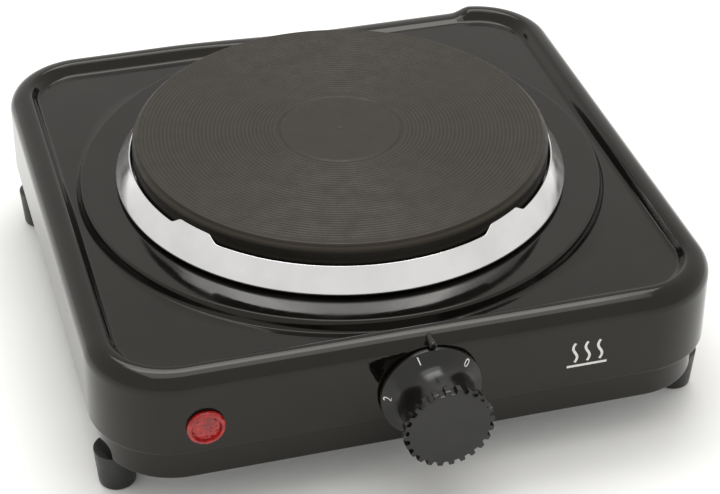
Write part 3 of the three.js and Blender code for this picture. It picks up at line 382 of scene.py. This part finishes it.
def rib_profile():
    """The top from the middle out: a dimple, a flat disc with a ring line, and ribs as a cosine of the
    radius that fade in and out."""
    centre = np.array([[0, -0.35], [0.7, -0.3], [1.5, -0.08], [2.2, 0], [8, 0], [15, 0], [21.6, 0]])
    ring = np.array([[-0.6, -0.02], [-0.25, -0.3], [0.05, -0.34], [0.4, -0.05]]) + [DISC_RADIUS, 0]
    radius = np.arange(RIBS_START, RIBS_END, RIB_PITCH / 5)
    fade = smooth((radius - RIBS_START) / 2) * smooth((RIBS_END - radius) / 1.5)
    ribs = -RIB_DEPTH * fade * (1 - np.cos(2 * np.pi * radius / RIB_PITCH)) / 2
    top = np.vstack([centre, ring, np.stack([radius, ribs], -1)])
    return top + [0, PLATE_TOP]


edge = rounded([
    (PLATE_RADIUS - PLATE_CHAMFER - 1.1, PLATE_TOP, 0),
    (PLATE_RADIUS - PLATE_CHAMFER, PLATE_TOP, 0.4),
    (PLATE_RADIUS, PLATE_TOP - PLATE_CHAMFER, 1.0),
    (PLATE_RADIUS, PLATE_TOP - PLATE_EDGE, 0.8),
    (PLATE_RIM[1], PLATE_TOP - PLATE_EDGE, 0.5),
    (PLATE_RIM[1], PLATE_RIM_BOTTOM, 0.4),
    (PLATE_RIM[0], PLATE_RIM_BOTTOM, 0.4),
    (PLATE_RIM[0], PLATE_CEILING, 1.0),
    (BOSS_RADIUS, PLATE_CEILING, 1.0),
    (BOSS_RADIUS, BOSS_BOTTOM, 0.5),
    (0, BOSS_BOTTOM, 0),
])
plate_profile = np.vstack([rib_profile(), divided(edge, 3.0)])
plate_y = (plate_high.y + plate_low.y) / 2 / MM


def cast_iron_finish():
    """Varnished iron: the ribs' crests are painted lighter and their grooves darker, as a cosine of the
    radius, a painted highlight and painted shade for the light on the ribs; concentric tool marks are noise
    read along the radius, over faint heat tints and a sandy relief."""
    material, tree, shader, node = new_material("varnished_iron")
    place = node("ShaderNodeTexCoord").outputs["Object"]
    centred = node("ShaderNodeMapping", {"Vector": place, "Location": (0, -plate_y * MM, 0)}).outputs[0]
    parts = node("ShaderNodeSeparateXYZ", {0: centred})
    flat = node("ShaderNodeCombineXYZ", {"X": parts.outputs["X"], "Y": parts.outputs["Y"]})
    radius = node("ShaderNodeVectorMath", {0: flat.outputs[0]}, operation="LENGTH").outputs["Value"]
    along = node("ShaderNodeCombineXYZ", {"X": radius}).outputs[0]
    marks = noise(node, along, 0.5, 2.0)
    clouds = noise(node, place, 26, 4.0)
    stain = noise(node, place, 6, 4.0)
    tint = two_tone(node, spread(node, clouds, 0, 1), (0.0115, 0.0095, 0.0068), (0.0135, 0.0112, 0.0082))
    # Painted highlight on each rib crest and painted shade in each groove: a cosine of the radius, outside
    # the plain disc.
    turns = node("ShaderNodeMath", {0: radius, 1: 2 * math.pi / (RIB_PITCH * MM)}, operation="MULTIPLY")
    painted_rib_light = node("ShaderNodeMath", {0: turns.outputs[0]}, operation="COSINE").outputs[0]
    ribbed = node("ShaderNodeMath", {0: radius, 1: RIBS_START * MM}, operation="GREATER_THAN").outputs[0]
    painted_rib_light = node("ShaderNodeMath", {0: painted_rib_light, 1: ribbed}, operation="MULTIPLY").outputs[0]
    # The real tool marks plus the painted rib highlight and shade, as a factor on the tint from 0.35 to
    # 1.75.
    uneven = spread(node, marks, -0.25, 0.25)
    marks_and_painted_rib_light = node("ShaderNodeMath", {0: uneven, 1: painted_rib_light}, operation="ADD").outputs[0]
    painted_rib_light_and_marks_tone = two_tone(node, spread(node, marks_and_painted_rib_light, 0, 1, -1.2, 1.2), (0.35, 0.35, 0.35), (1.75, 1.72, 1.66))
    shade = node("ShaderNodeMix", {"Factor": 1.0}, data_type="RGBA", blend_type="MULTIPLY")
    tree.links.new(tint, shade.inputs["A"])
    tree.links.new(painted_rib_light_and_marks_tone, shade.inputs["B"])
    sand = node("ShaderNodeBump", {
        "Height": noise(node, place, 0.45, 2.0),
        "Distance": 0.035 * MM,
        "Strength": 0.8,
    })
    rings = node("ShaderNodeBump", {
        "Height": marks,
        "Distance": 0.02 * MM,
        "Strength": 0.6,
        "Normal": sand.outputs[0],
    })
    set_shader(
        tree, shader,
        Base_Color=shade.outputs["Result"],
        Roughness=spread(node, stain, 0.40, 0.52),
        Normal=rings.outputs[0],
        Specular_IOR_Level=0.34,
        Specular_Tint=(1.0, 0.94, 0.82),
    )
    return material


iron = cast_iron_finish()
plate_grid = turned(plate_profile, 256) + [0, plate_y, 0]
show("ribbed_plate", skin("ribbed_plate", plate_grid, crease=50), "base", iron, ["hot_plate"])

# ------------------------------------------------------------------ trim ring
# A bright chromed ring, rolled from thin steel, that hides the gap under the plate. Its skirt slopes out to
# a lip that stands a little off the plateau, its upper edge is turned over, and four lugs stand up from the
# edge to centre the plate.
ring_low, ring_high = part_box("trim_ring")
RING_OUTER = (ring_high.x - ring_low.x) / 2 / MM
RING_INNER = RING_OUTER - 5.0
RING_SHEET = 0.6
RING_FOOT = ring_low.z / MM
LUG_HEIGHT = 2.6
RING_EDGE = ring_high.z / MM - LUG_HEIGHT
RING_LIP = 1.3  # how far the lip reaches beyond the foot's circle
RING_SKIRT_TOP = 1.35
RING_COLUMNS = 720
LUG_COUNT = 4
LUG_START = -147.0  # direction of the first lug, in degrees
LUG_SPAN = 13.0
LUG_RAMP = 4.0
LUG_LEAN = (RING_OUTER - RING_INNER - RING_SKIRT_TOP) / (RING_EDGE - RING_FOOT - 2.0)  # inwards per height
LUG_GAP = 0.12


def ring_grid():
    """The turned section, from the flange under the plate, round the lip, up the straight skirt and over
    the edge, and back on the inside. At a lug the edge rises and leans in, with a short ramp at each end, as
    far as a small gap from the plate."""
    section = rounded([
        (OPENING + 0.8, RING_FOOT, 0),
        (RING_OUTER - 0.6, RING_FOOT, 0.5),
        (RING_OUTER + RING_LIP, RING_FOOT + 1.0, 0.5),
        (RING_OUTER + RING_LIP, RING_FOOT + 1.6, 0.3),
        (RING_INNER + RING_SKIRT_TOP, RING_EDGE - 0.5, 0.5),
        (RING_INNER + 1.0, RING_EDGE + 0.1, 0.3),
        (RING_INNER + 0.45, RING_EDGE, 0.3),
        (RING_INNER + 0.4, RING_EDGE - 0.7, 0.3),
        (RING_OUTER + 0.3, RING_FOOT + 1.9, 0.5),
        (RING_OUTER - 0.9, RING_FOOT + RING_SHEET, 0.4),
        (OPENING + 0.8, RING_FOOT + RING_SHEET, 0),
    ])
    section = divided(section, 1.2)
    grid = turned(section, RING_COLUMNS)
    angle = np.degrees(np.linspace(0, 2 * np.pi, RING_COLUMNS, endpoint=False))
    pitch = 360 / LUG_COUNT
    off = np.abs((angle - LUG_START + pitch / 2) % pitch - pitch / 2)
    lug = smooth((LUG_SPAN / 2 - off) / LUG_RAMP + 0.5)
    raised = LUG_HEIGHT * (section[:, 1:] > RING_EDGE - 1.0) * lug
    radius = np.hypot(grid[:, :, 0], grid[:, :, 1])
    leant = np.maximum(radius - raised * LUG_LEAN, PLATE_RADIUS + LUG_GAP)
    closer = np.where(raised > 0, leant, radius)
    grid[:, :, :2] *= (np.minimum(closer, radius) / radius)[:, :, None]
    grid[:, :, 2] += raised
    return grid + [0, plate_y, 0]


chrome = worked_finish(
    "bright_chrome",
    tones=((0.72, 0.72, 0.73), (0.8, 0.8, 0.81)),
    patch=22,
    gloss=(0.14, 0.24),
    gloss_patch=9,
    relief=0.01,
    relief_size=3.0,
    Metallic=1.0,
)
ring = skin("chrome_ring", ring_grid(), closed=True)
show("chrome_ring", ring, "base", chrome, ["trim_ring"])

# ------------------------------------------------------------------ dial
# A moulded black phenolic dial: a shallow conical skirt with printed numbers, a neck, and a gear-like grip
# with square ribs. It is pushed onto the thermostat's flatted shaft and held by a spring clip.
knob_low, knob_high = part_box("knob")
KNOB_X = (knob_low.x + knob_high.x) / 2 / MM
KNOB_Z = (knob_low.z + knob_high.z) / 2 / MM
KNOB_REACH = FRONT_WALL - knob_low.y / MM
KNOB_STANDOFF = FRONT_WALL - knob_high.y / MM
DIAL_RADIUS = 18.2
DIAL_TOP = KNOB_STANDOFF + 1.5
NECK_RADIUS = 12.5
NECK_START = 6.0
GRIP_VALLEY = 14.3
RIB_COUNT = 24
RIB_RISE = 1.6
GRIP_LENGTH = 3.6
GRIP_START = KNOB_REACH - GRIP_LENGTH
KNOB_WALL = 1.5
KNOB_BORE = 3.3
DIAL_SLOPE = (NECK_START - DIAL_TOP) / (DIAL_RADIUS - NECK_RADIUS)


def facing_front(grid, x, z):
    """A grid built along its own axis, turned so that the axis points out of the front wall."""
    return np.stack([x + grid[..., 0], FRONT_WALL - grid[..., 2], z + grid[..., 1]], -1)


def dial_cone(radius):
    """Height of the skirt's surface at a radius."""
    return DIAL_TOP + (DIAL_RADIUS - radius) * DIAL_SLOPE


def knob_grid():
    """Rows from the face's middle to the end of the bore. A row is [radius, height, rib share], and its
    radius grows over each rib by a squared-off sine of the angle times that share."""
    face = [(0, KNOB_REACH - 0.25), (5, KNOB_REACH - 0.2), (9, KNOB_REACH - 0.12)]
    face += [(12.5, KNOB_REACH - 0.04), (13.3, KNOB_REACH), (13.9, KNOB_REACH)]
    grip = [(GRIP_VALLEY - 0.3, KNOB_REACH, 0.93), (GRIP_VALLEY - 0.08, KNOB_REACH - 0.09, 0.98)]
    grip += [(GRIP_VALLEY, KNOB_REACH - 0.35, 1)]
    grip += [(GRIP_VALLEY, z, 1) for z in np.linspace(KNOB_REACH - 0.8, GRIP_START + 0.5, 4)]
    grip += [(GRIP_VALLEY - 0.1, GRIP_START + 0.1, 0.96), (GRIP_VALLEY - 0.4, GRIP_START, 0.9)]
    grip += [(GRIP_VALLEY - 0.9, GRIP_START, 0)]
    inner = NECK_RADIUS - KNOB_WALL
    thick = KNOB_WALL * math.hypot(1, DIAL_SLOPE)
    back = divided(rounded([
        (GRIP_VALLEY - 1.2, GRIP_START, 0),
        (NECK_RADIUS, GRIP_START, 0.4),
        (NECK_RADIUS, NECK_START, 5.0),
        (DIAL_RADIUS, DIAL_TOP, 0.4),
        (DIAL_RADIUS, KNOB_STANDOFF, 0.3),
        (DIAL_RADIUS - KNOB_WALL, KNOB_STANDOFF, 0.3),
        (DIAL_RADIUS - KNOB_WALL, dial_cone(DIAL_RADIUS - KNOB_WALL) - thick, 0.3),
        (inner, dial_cone(inner) - thick, 0.6),
        (inner, GRIP_START - 2, 0.5),
        (KNOB_BORE + 2.2, GRIP_START - 2, 0.5),
        (KNOB_BORE + 2.2, KNOB_STANDOFF + 2, 0.3),
        (KNOB_BORE, KNOB_STANDOFF + 2, 0.3),
        (KNOB_BORE, GRIP_START + 2, 0.2),
        (0, GRIP_START + 2, 0),
    ]), 1.5)
    rows = np.array([(*p, 0) for p in face] + grip + [(*p, 0) for p in back])
    angle = np.linspace(0, 2 * np.pi, RIB_COUNT * 20, endpoint=False)
    rib = smooth(0.5 + 1.6 * np.sin(RIB_COUNT * angle))
    radius = rows[:, :1] + RIB_RISE * rows[:, 2:] * rib
    grid = np.stack([radius * np.cos(angle), radius * np.sin(angle), rows[:, 1:2] + 0 * angle], -1)
    return facing_front(grid, KNOB_X, KNOB_Z)


phenolic = worked_finish(
    "moulded_phenolic",
    tones=((0.0045, 0.0042, 0.0038), (0.0075, 0.007, 0.0064)),
    patch=7,
    gloss=(0.16, 0.25),
    gloss_patch=5,
    relief=0.008,
    relief_size=0.6,
    Specular_IOR_Level=0.45,
)
dial = skin("ribbed_dial", knob_grid(), crease=45)
show("ribbed_dial", dial, "knob", phenolic, ["knob"])

NUMBER_RADIUS = 16.1
NUMBER_HEIGHT = 2.7
NUMBER_FIRST = 46.0  # direction of the zero, clockwise from the top as seen from the front
NUMBER_STEP = -65.0


def printed_number(text, direction):
    """The outline of a number as a thin print: its width follows the circle round the dial, its height the
    radius, and it lies on the skirt's cone."""
    letters = bpy.data.curves.new("number", "FONT")
    letters.body = text
    letters.align_x = "CENTER"
    letters.align_y = "CENTER"
    letters.size = NUMBER_HEIGHT / 0.7
    letters.extrude = 0.02
    letters.resolution_u = 4
    stencil = bpy.data.objects.new("number", letters)
    bpy.context.scene.collection.objects.link(stencil)
    made = stencil.to_mesh()
    made.calc_loop_triangles()
    flat = np.zeros(len(made.vertices) * 3)
    made.vertices.foreach_get("co", flat)
    faces = np.zeros(len(made.loop_triangles) * 3, int)
    made.loop_triangles.foreach_get("vertices", faces)
    stencil.to_mesh_clear()
    bpy.data.objects.remove(stencil)
    flat = flat.reshape(-1, 3)
    radius = NUMBER_RADIUS + flat[:, 1]
    angle = math.radians(direction) + flat[:, 0] / NUMBER_RADIUS
    height = dial_cone(radius) + 0.03 + flat[:, 2]
    points = np.stack([radius * np.sin(angle), radius * np.cos(angle), height], -1)
    return facing_front(points, KNOB_X, KNOB_Z), faces.reshape(-1, 3)


number_points, number_faces, count = [], [], 0
for value in range(5):
    points, faces = printed_number(str(value), NUMBER_FIRST + NUMBER_STEP * value)
    number_points.append(points)
    number_faces.append(faces + count)
    count += len(points)
white_print = worked_finish(
    "white_print",
    tones=((0.62, 0.62, 0.6), (0.74, 0.74, 0.72)),
    patch=1.2,
    gloss=(0.45, 0.6),
    gloss_patch=1.0,
    relief=0.006,
    relief_size=0.3,
)
numbers = mesh_of("dial_numbers", np.vstack(number_points), np.vstack(number_faces))
show("dial_numbers", numbers, "knob", white_print)

# A small moulded stud in the wall above the dial points at the chosen number.
pointer_low, pointer_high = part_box("dial_pointer")
POINTER_RADIUS = (pointer_high.x - pointer_low.x) / 2 / MM
pointer_x = (pointer_high.x + pointer_low.x) / 2 / MM
pointer_z = (pointer_high.z + pointer_low.z) / 2 / MM
pointer_back = FRONT_WALL - pointer_high.y / MM
pointer_tip = FRONT_WALL - pointer_low.y / MM + 2.0
stud = rounded([
    (0, pointer_back, 0),
    (POINTER_RADIUS - 0.2, pointer_back, 0.2),
    (POINTER_RADIUS, 0, 0.1),
    (POINTER_RADIUS, pointer_tip, 0.7),
    (0, pointer_tip, 0),
])
stud_grid = facing_front(turned(stud, 40), pointer_x, pointer_z)
show("pointer_stud", skin("pointer_stud", stud_grid), "base", phenolic, ["dial_pointer"])

# ------------------------------------------------------------------ indicator lamp
# A clear red polycarbonate lens over a neon lamp: a raised rim round a face of small pyramids that scatter
# the light, on a barrel that snaps into the wall.
lens_low, lens_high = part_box("lamp_lens")
LENS_X = (lens_low.x + lens_high.x) / 2 / MM
LENS_Z = (lens_low.z + lens_high.z) / 2 / MM
LENS_RADIUS = (lens_high.x - lens_low.x) / 2 / MM
LENS_FACE = 4.9
LENS_BARREL = 5.2
LENS_BORE = 4.3
LENS_RISE = FRONT_WALL - lens_low.y / MM
LENS_BACK = FRONT_WALL - lens_high.y / MM
PYRAMID_PITCH = 1.9
PYRAMID_HEIGHT = 0.55
FACE_DEPTH = 1.1  # how far the face lies below the rim
FACE_ROWS = 22


def lens_grid():
    """A turned body whose face is lifted by square pyramids, a folded line in X plus one in Y, fading out
    towards the rim."""
    face = np.stack([np.linspace(0, LENS_FACE, FACE_ROWS), np.full(FACE_ROWS, LENS_RISE - FACE_DEPTH)], -1)
    body = rounded([
        (LENS_FACE, LENS_RISE - FACE_DEPTH, 0),
        (LENS_FACE + 0.35, LENS_RISE, 0.4),
        (LENS_RADIUS - 0.9, LENS_RISE, 0.4),
        (LENS_RADIUS, LENS_RISE - 0.8, 0.5),
        (LENS_RADIUS, 0.3, 0.1),
        (LENS_BARREL, 0.3, 0),
        (LENS_BARREL, LENS_BACK, 0.2),
        (LENS_BORE, LENS_BACK, 0.2),
        (LENS_BORE, 0.2, 0.2),
        (0, 0.2, 0),
    ])
    grid = turned(np.vstack([face, body]), 120)

    def folded(value):
        """A zigzag line, 0 at each valley and 1 at each ridge, one pitch from valley to valley."""
        return 1 - 2 * np.abs((value / PYRAMID_PITCH) % 1 - 0.5)

    pyramids = (folded(grid[:FACE_ROWS, :, 0]) + folded(grid[:FACE_ROWS, :, 1])) / 2
    fade = smooth((LENS_FACE - face[:, :1]) / 0.8)
    grid[:FACE_ROWS, :, 2] += PYRAMID_HEIGHT * pyramids * fade
    return facing_front(grid, LENS_X, LENS_Z)


red_lens = worked_finish(
    "red_lens",
    tones=((0.22, 0.004, 0.004), (0.42, 0.012, 0.010)),
    patch=2.0,
    gloss=(0.08, 0.16),
    gloss_patch=3.0,
    relief=0.01,
    relief_size=0.8,
    Subsurface_Weight=0.2,
    Subsurface_Radius=(0.003, 0.0004, 0.0003),
    Coat_Weight=0.3,
    Coat_Roughness=0.05,
)
lens = skin("faceted_lens", lens_grid(), crease=20)
show("faceted_lens", lens, "base", red_lens, ["lamp_lens"])

# ------------------------------------------------------------------ printed mark
# A plain heat symbol, three wavy lines over a bar, silk-screened in light grey on the front wall.
MARK_X = 58.0
MARK_Z = 37.0
MARK_LINE = 0.95
MARK_HEIGHT = 8.2
MARK_PITCH = 4.6
MARK_THICKNESS = 0.03
MARK_GAP = 0.02  # between the ink and the wall, so that the two never share a surface


def printed_line(across, up, width):
    """A ribbon of ink on the front wall along a line of points: each point is moved half a width to either
    side of the line, front and back, and the ends are closed."""
    way = np.gradient(np.stack([across, up], -1), axis=0)
    way /= np.linalg.norm(way, axis=1)[:, None]
    side = np.stack([-way[:, 1], way[:, 0]], -1) * width / 2
    line = np.stack([across, up], -1)
    outer = MARK_GAP + MARK_THICKNESS
    corners = [(line + side, MARK_GAP), (line - side, MARK_GAP), (line - side, outer), (line + side, outer)]
    rows = [np.stack([p[:, 0], FRONT_WALL - out + 0 * p[:, 0], p[:, 1]], -1) for p, out in corners]
    grid = np.stack(rows, 1)
    middle = grid.mean(1, keepdims=True)
    return np.concatenate([np.repeat(middle[:1], 4, 1), grid, np.repeat(middle[-1:], 4, 1)])


wave = np.linspace(0, 1, 33)
for number in range(3):
    across = MARK_X + (number - 1) * MARK_PITCH + 0.8 * np.sin(2 * np.pi * wave)
    ribbon = printed_line(across, MARK_Z + 1.6 + MARK_HEIGHT * wave, MARK_LINE)
    show(f"heat_mark_wave_{number + 1}", skin("heat_mark_wave", ribbon), "base", white_print)
bar = printed_line(MARK_X + np.linspace(-7.4, 7.4, 9), np.full(9, MARK_Z), MARK_LINE)
show("heat_mark_bar", skin("heat_mark_bar", bar), "base", white_print)

# ------------------------------------------------------------------ feet
# Four moulded tapered feet with a rounded tread. A screw in the recess underneath holds each foot and the
# base sheet to a bracket inside the housing.
FOOT_TOP = 7.7
FOOT_TIP = 6.5
FOOT_RECESS = 4.4
FOOT_RECESS_DEPTH = 8.0
SCREW_BORE = 2.0
FOOT_COLLAR = 2.7  # the collar that locates the foot in the base sheet
FOOT_SEAT = BOTTOM - 0.3
CORNERS = ("front_left", "front_right", "rear_left", "rear_right")
moulded_foot = worked_finish(
    "moulded_foot",
    tones=((0.010, 0.0098, 0.009), (0.016, 0.0155, 0.0145)),
    patch=6,
    gloss=(0.34, 0.48),
    gloss_patch=4,
    relief=0.03,
    relief_size=0.4,
)
for corner in CORNERS:
    foot_low, foot_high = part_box("foot_" + corner)
    foot_x = (foot_low.x + foot_high.x) / 2 / MM
    foot_y = (foot_low.y + foot_high.y) / 2 / MM
    collar = foot_high.z / MM
    foot = rounded([
        (FOOT_RECESS + 0.2, 0.4, 0),
        (FOOT_RECESS + 0.5, 0, 0.2),
        (FOOT_TIP, 0, 1.4),
        (FOOT_TOP, FOOT_SEAT, 0.3),
        (FOOT_COLLAR, FOOT_SEAT, 0),
        (FOOT_COLLAR, collar, 0.2),
        (SCREW_BORE, collar, 0.2),
        (SCREW_BORE, FOOT_RECESS_DEPTH, 0.2),
        (FOOT_RECESS, FOOT_RECESS_DEPTH, 0.3),
        (FOOT_RECESS + 0.2, 0.4, 0),
    ])
    foot_grid = turned(divided(foot, 2.0)[:-1], 96) + [foot_x, foot_y, 0]
    foot_mesh = skin("moulded_foot", foot_grid, closed=True)
    show("moulded_foot_" + corner, foot_mesh, "base", moulded_foot, ["foot_" + corner])

# ------------------------------------------------------------------ cord gland
# A soft black rubber grommet in the rear wall, where the supply cord goes in.
gland_low, gland_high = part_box("cord_gland")
GLAND_X = (gland_low.x + gland_high.x) / 2 / MM
GLAND_Z = (gland_low.z + gland_high.z) / 2 / MM
GLAND_FLANGE = (gland_high.x - gland_low.x) / 2 / MM
GLAND_TIP = gland_high.y / MM - REAR_WALL
GLAND_BACK = gland_low.y / MM - REAR_WALL
GLAND_BORE = 3.7
GLAND_NECK = 6.0  # radius in the wall's hole
GLAND_SLACK = 0.3
gland = divided(rounded([
    (GLAND_BORE, -2, 0),
    (GLAND_BORE, GLAND_BACK, 0.4),
    (GLAND_FLANGE - 1, GLAND_BACK, 0.8),
    (GLAND_FLANGE - 1, -SHEET - GLAND_SLACK, 0.4),
    (GLAND_NECK, -SHEET - GLAND_SLACK, 0.1),
    (GLAND_NECK, GLAND_SLACK, 0.1),
    (GLAND_FLANGE, GLAND_SLACK, 0.3),
    (GLAND_FLANGE, GLAND_TIP - 1, 0.8),
    (GLAND_BORE + 2, GLAND_TIP, 1.0),
    (GLAND_BORE, GLAND_TIP, 0.6),
    (GLAND_BORE, -1.9, 0),
]), 1.5)
rubber = worked_finish(
    "soft_rubber",
    tones=((0.012, 0.012, 0.0115), (0.02, 0.02, 0.019)),
    patch=4,
    gloss=(0.6, 0.75),
    gloss_patch=3,
    relief=0.03,
    relief_size=0.35,
)
gland_grid = turned(gland, 96)
gland_grid = gland_grid[..., [0, 2, 1]] * [-1, 1, 1] + [GLAND_X, REAR_WALL, GLAND_Z]
gland_mesh = skin("rubber_gland", gland_grid, closed=True)
show("rubber_gland", gland_mesh, "base", rubber, ["cord_gland"])

# ------------------------------------------------------------------ fittings inside and underneath
# The base sheet, brackets, clamp, thermostat, element and wires keep their made shapes. Each slot of the
# parts list gets its own finish: zinc-plated steel, stamped brass, glazed ceramic, fibre board and so on.
def plated_steel_finish():
    """Zinc-plated sheet: crystal patches of differing grey from cells, with fine scratches in the gloss."""
    material, tree, shader, node = new_material("zinc_plated_steel")
    where = node("ShaderNodeTexCoord").outputs["Object"]
    cells = node("ShaderNodeTexVoronoi", {"Vector": where, "Scale": 1 / (7 * MM)})
    grey = node("ShaderNodeSeparateColor", {"Color": cells.outputs["Color"]}).outputs[0]
    colour = two_tone(node, grey, (0.38, 0.39, 0.40), (0.52, 0.53, 0.54))
    stretched = node("ShaderNodeMapping", {"Vector": where, "Scale": (1, 14, 1)}).outputs[0]
    scratches = noise(node, stretched, 3, 4.0)
    bump = node("ShaderNodeBump", {"Height": scratches, "Distance": 0.01 * MM, "Strength": 0.7})
    set_shader(
        tree, shader,
        Base_Color=colour,
        Metallic=1.0,
        Roughness=spread(node, scratches, 0.28, 0.46),
        Normal=bump.outputs[0],
    )
    return material


slot_finish = {
    "steel": plated_steel_finish(),
    "black_plastic": phenolic,
    "rubber": rubber,
    "brass": worked_finish(
        "stamped_brass", ((0.50, 0.33, 0.12), (0.62, 0.43, 0.18)), 3, (0.25, 0.42), 2, 0.01, 0.6,
        Metallic=1.0),
    "ceramic": worked_finish(
        "glazed_ceramic", ((0.66, 0.62, 0.53), (0.76, 0.72, 0.63)), 5, (0.25, 0.55), 4, 0.05, 0.7),
    "insulation": worked_finish(
        "fibre_board", ((0.42, 0.37, 0.29), (0.55, 0.49, 0.40)), 2, (0.85, 0.95), 4, 0.15, 0.5),
    "element": worked_finish(
        "heated_nickel", ((0.16, 0.12, 0.09), (0.26, 0.20, 0.16)), 4, (0.4, 0.6), 3, 0.02, 0.5,
        Metallic=0.9),
    "wire_live": worked_finish(
        "brown_sleeve", ((0.10, 0.035, 0.012), (0.14, 0.05, 0.02)), 5, (0.4, 0.55), 4, 0.02, 0.4),
    "wire_neutral": worked_finish(
        "blue_sleeve", ((0.015, 0.07, 0.28), (0.025, 0.10, 0.36)), 5, (0.4, 0.55), 4, 0.02, 0.4),
    "wire_earth": worked_finish(
        "green_sleeve", ((0.09, 0.22, 0.03), (0.13, 0.30, 0.05)), 5, (0.4, 0.55), 4, 0.02, 0.4),
}
for entry in frame["record"]["subparts"]:
    node_object = frame["nodes"][entry["node"]]
    if node_object.hide_render or entry["material_slot"] not in slot_finish:
        continue
    node_object.data.materials.clear()
    node_object.data.materials.append(slot_finish[entry["material_slot"]])

# ------------------------------------------------------------------ floor, light and camera
# A pale seamless floor in an evenly lit white studio, with one large soft light above and one above and
# behind.
floor_mesh = bpy.data.meshes.new("studio_floor")
FLOOR = 6.0
floor_mesh.from_pydata(
    [(-FLOOR, -FLOOR, 0), (FLOOR, -FLOOR, 0), (FLOOR, FLOOR, 0), (-FLOOR, FLOOR, 0)], [], [(0, 1, 2, 3)])
floor = bpy.data.objects.new("studio_floor", floor_mesh)
bpy.context.scene.collection.objects.link(floor)
floor_mesh.materials.append(worked_finish(
    "studio_paper", ((0.86, 0.86, 0.85), (0.88, 0.88, 0.87)), 60, (0.7, 0.8), 40, 0.02, 1.5,
    Specular_IOR_Level=0.2))

world = bpy.data.worlds.new("studio_tent")
bpy.context.scene.world = world
world.use_nodes = True
world.node_tree.nodes["Background"].inputs["Color"].default_value = (1, 0.99, 0.965, 1)
world.node_tree.nodes["Background"].inputs["Strength"].default_value = 0.88


def soft_light(name, place, aim, size, power):
    """A rectangular soft light at a place in metres, turned towards a point."""
    lamp = bpy.data.lights.new(name, "AREA")
    lamp.shape = "RECTANGLE"
    lamp.size, lamp.size_y = size
    lamp.energy = power
    light = bpy.data.objects.new(name, lamp)
    bpy.context.scene.collection.objects.link(light)
    light.location = place
    way = np.array(aim) - np.array(place)
    light.rotation_mode = "XYZ"
    across = math.hypot(way[0], way[1])
    light.rotation_euler = (math.atan2(across, -way[2]), 0, math.atan2(-way[0], way[1]))
    return light


soft_light("light_above", (0.0, 0.05, 1.3), (0, 0.0499, 0), (1.1, 1.0), 6.4)
soft_light("light_fill", (0.1, 0.6, 1.5), (0, 0, 0.03), (1.2, 0.8), 9)

CAMERA_PLACE = (-0.1833, -0.65265, 0.4992)
CAMERA_TURN = (55.2748, -0.2235, -15.9434)
camera_data = bpy.data.cameras.new("camera")
camera_data.sensor_width = 36
camera_data.lens = 108.2
camera = bpy.data.objects.new("camera", camera_data)
bpy.context.scene.collection.objects.link(camera)
camera.location = CAMERA_PLACE
camera.rotation_euler = Euler([math.radians(a) for a in CAMERA_TURN])
bpy.context.scene.camera = camera
bpy.context.scene.view_settings.view_transform = "Standard"
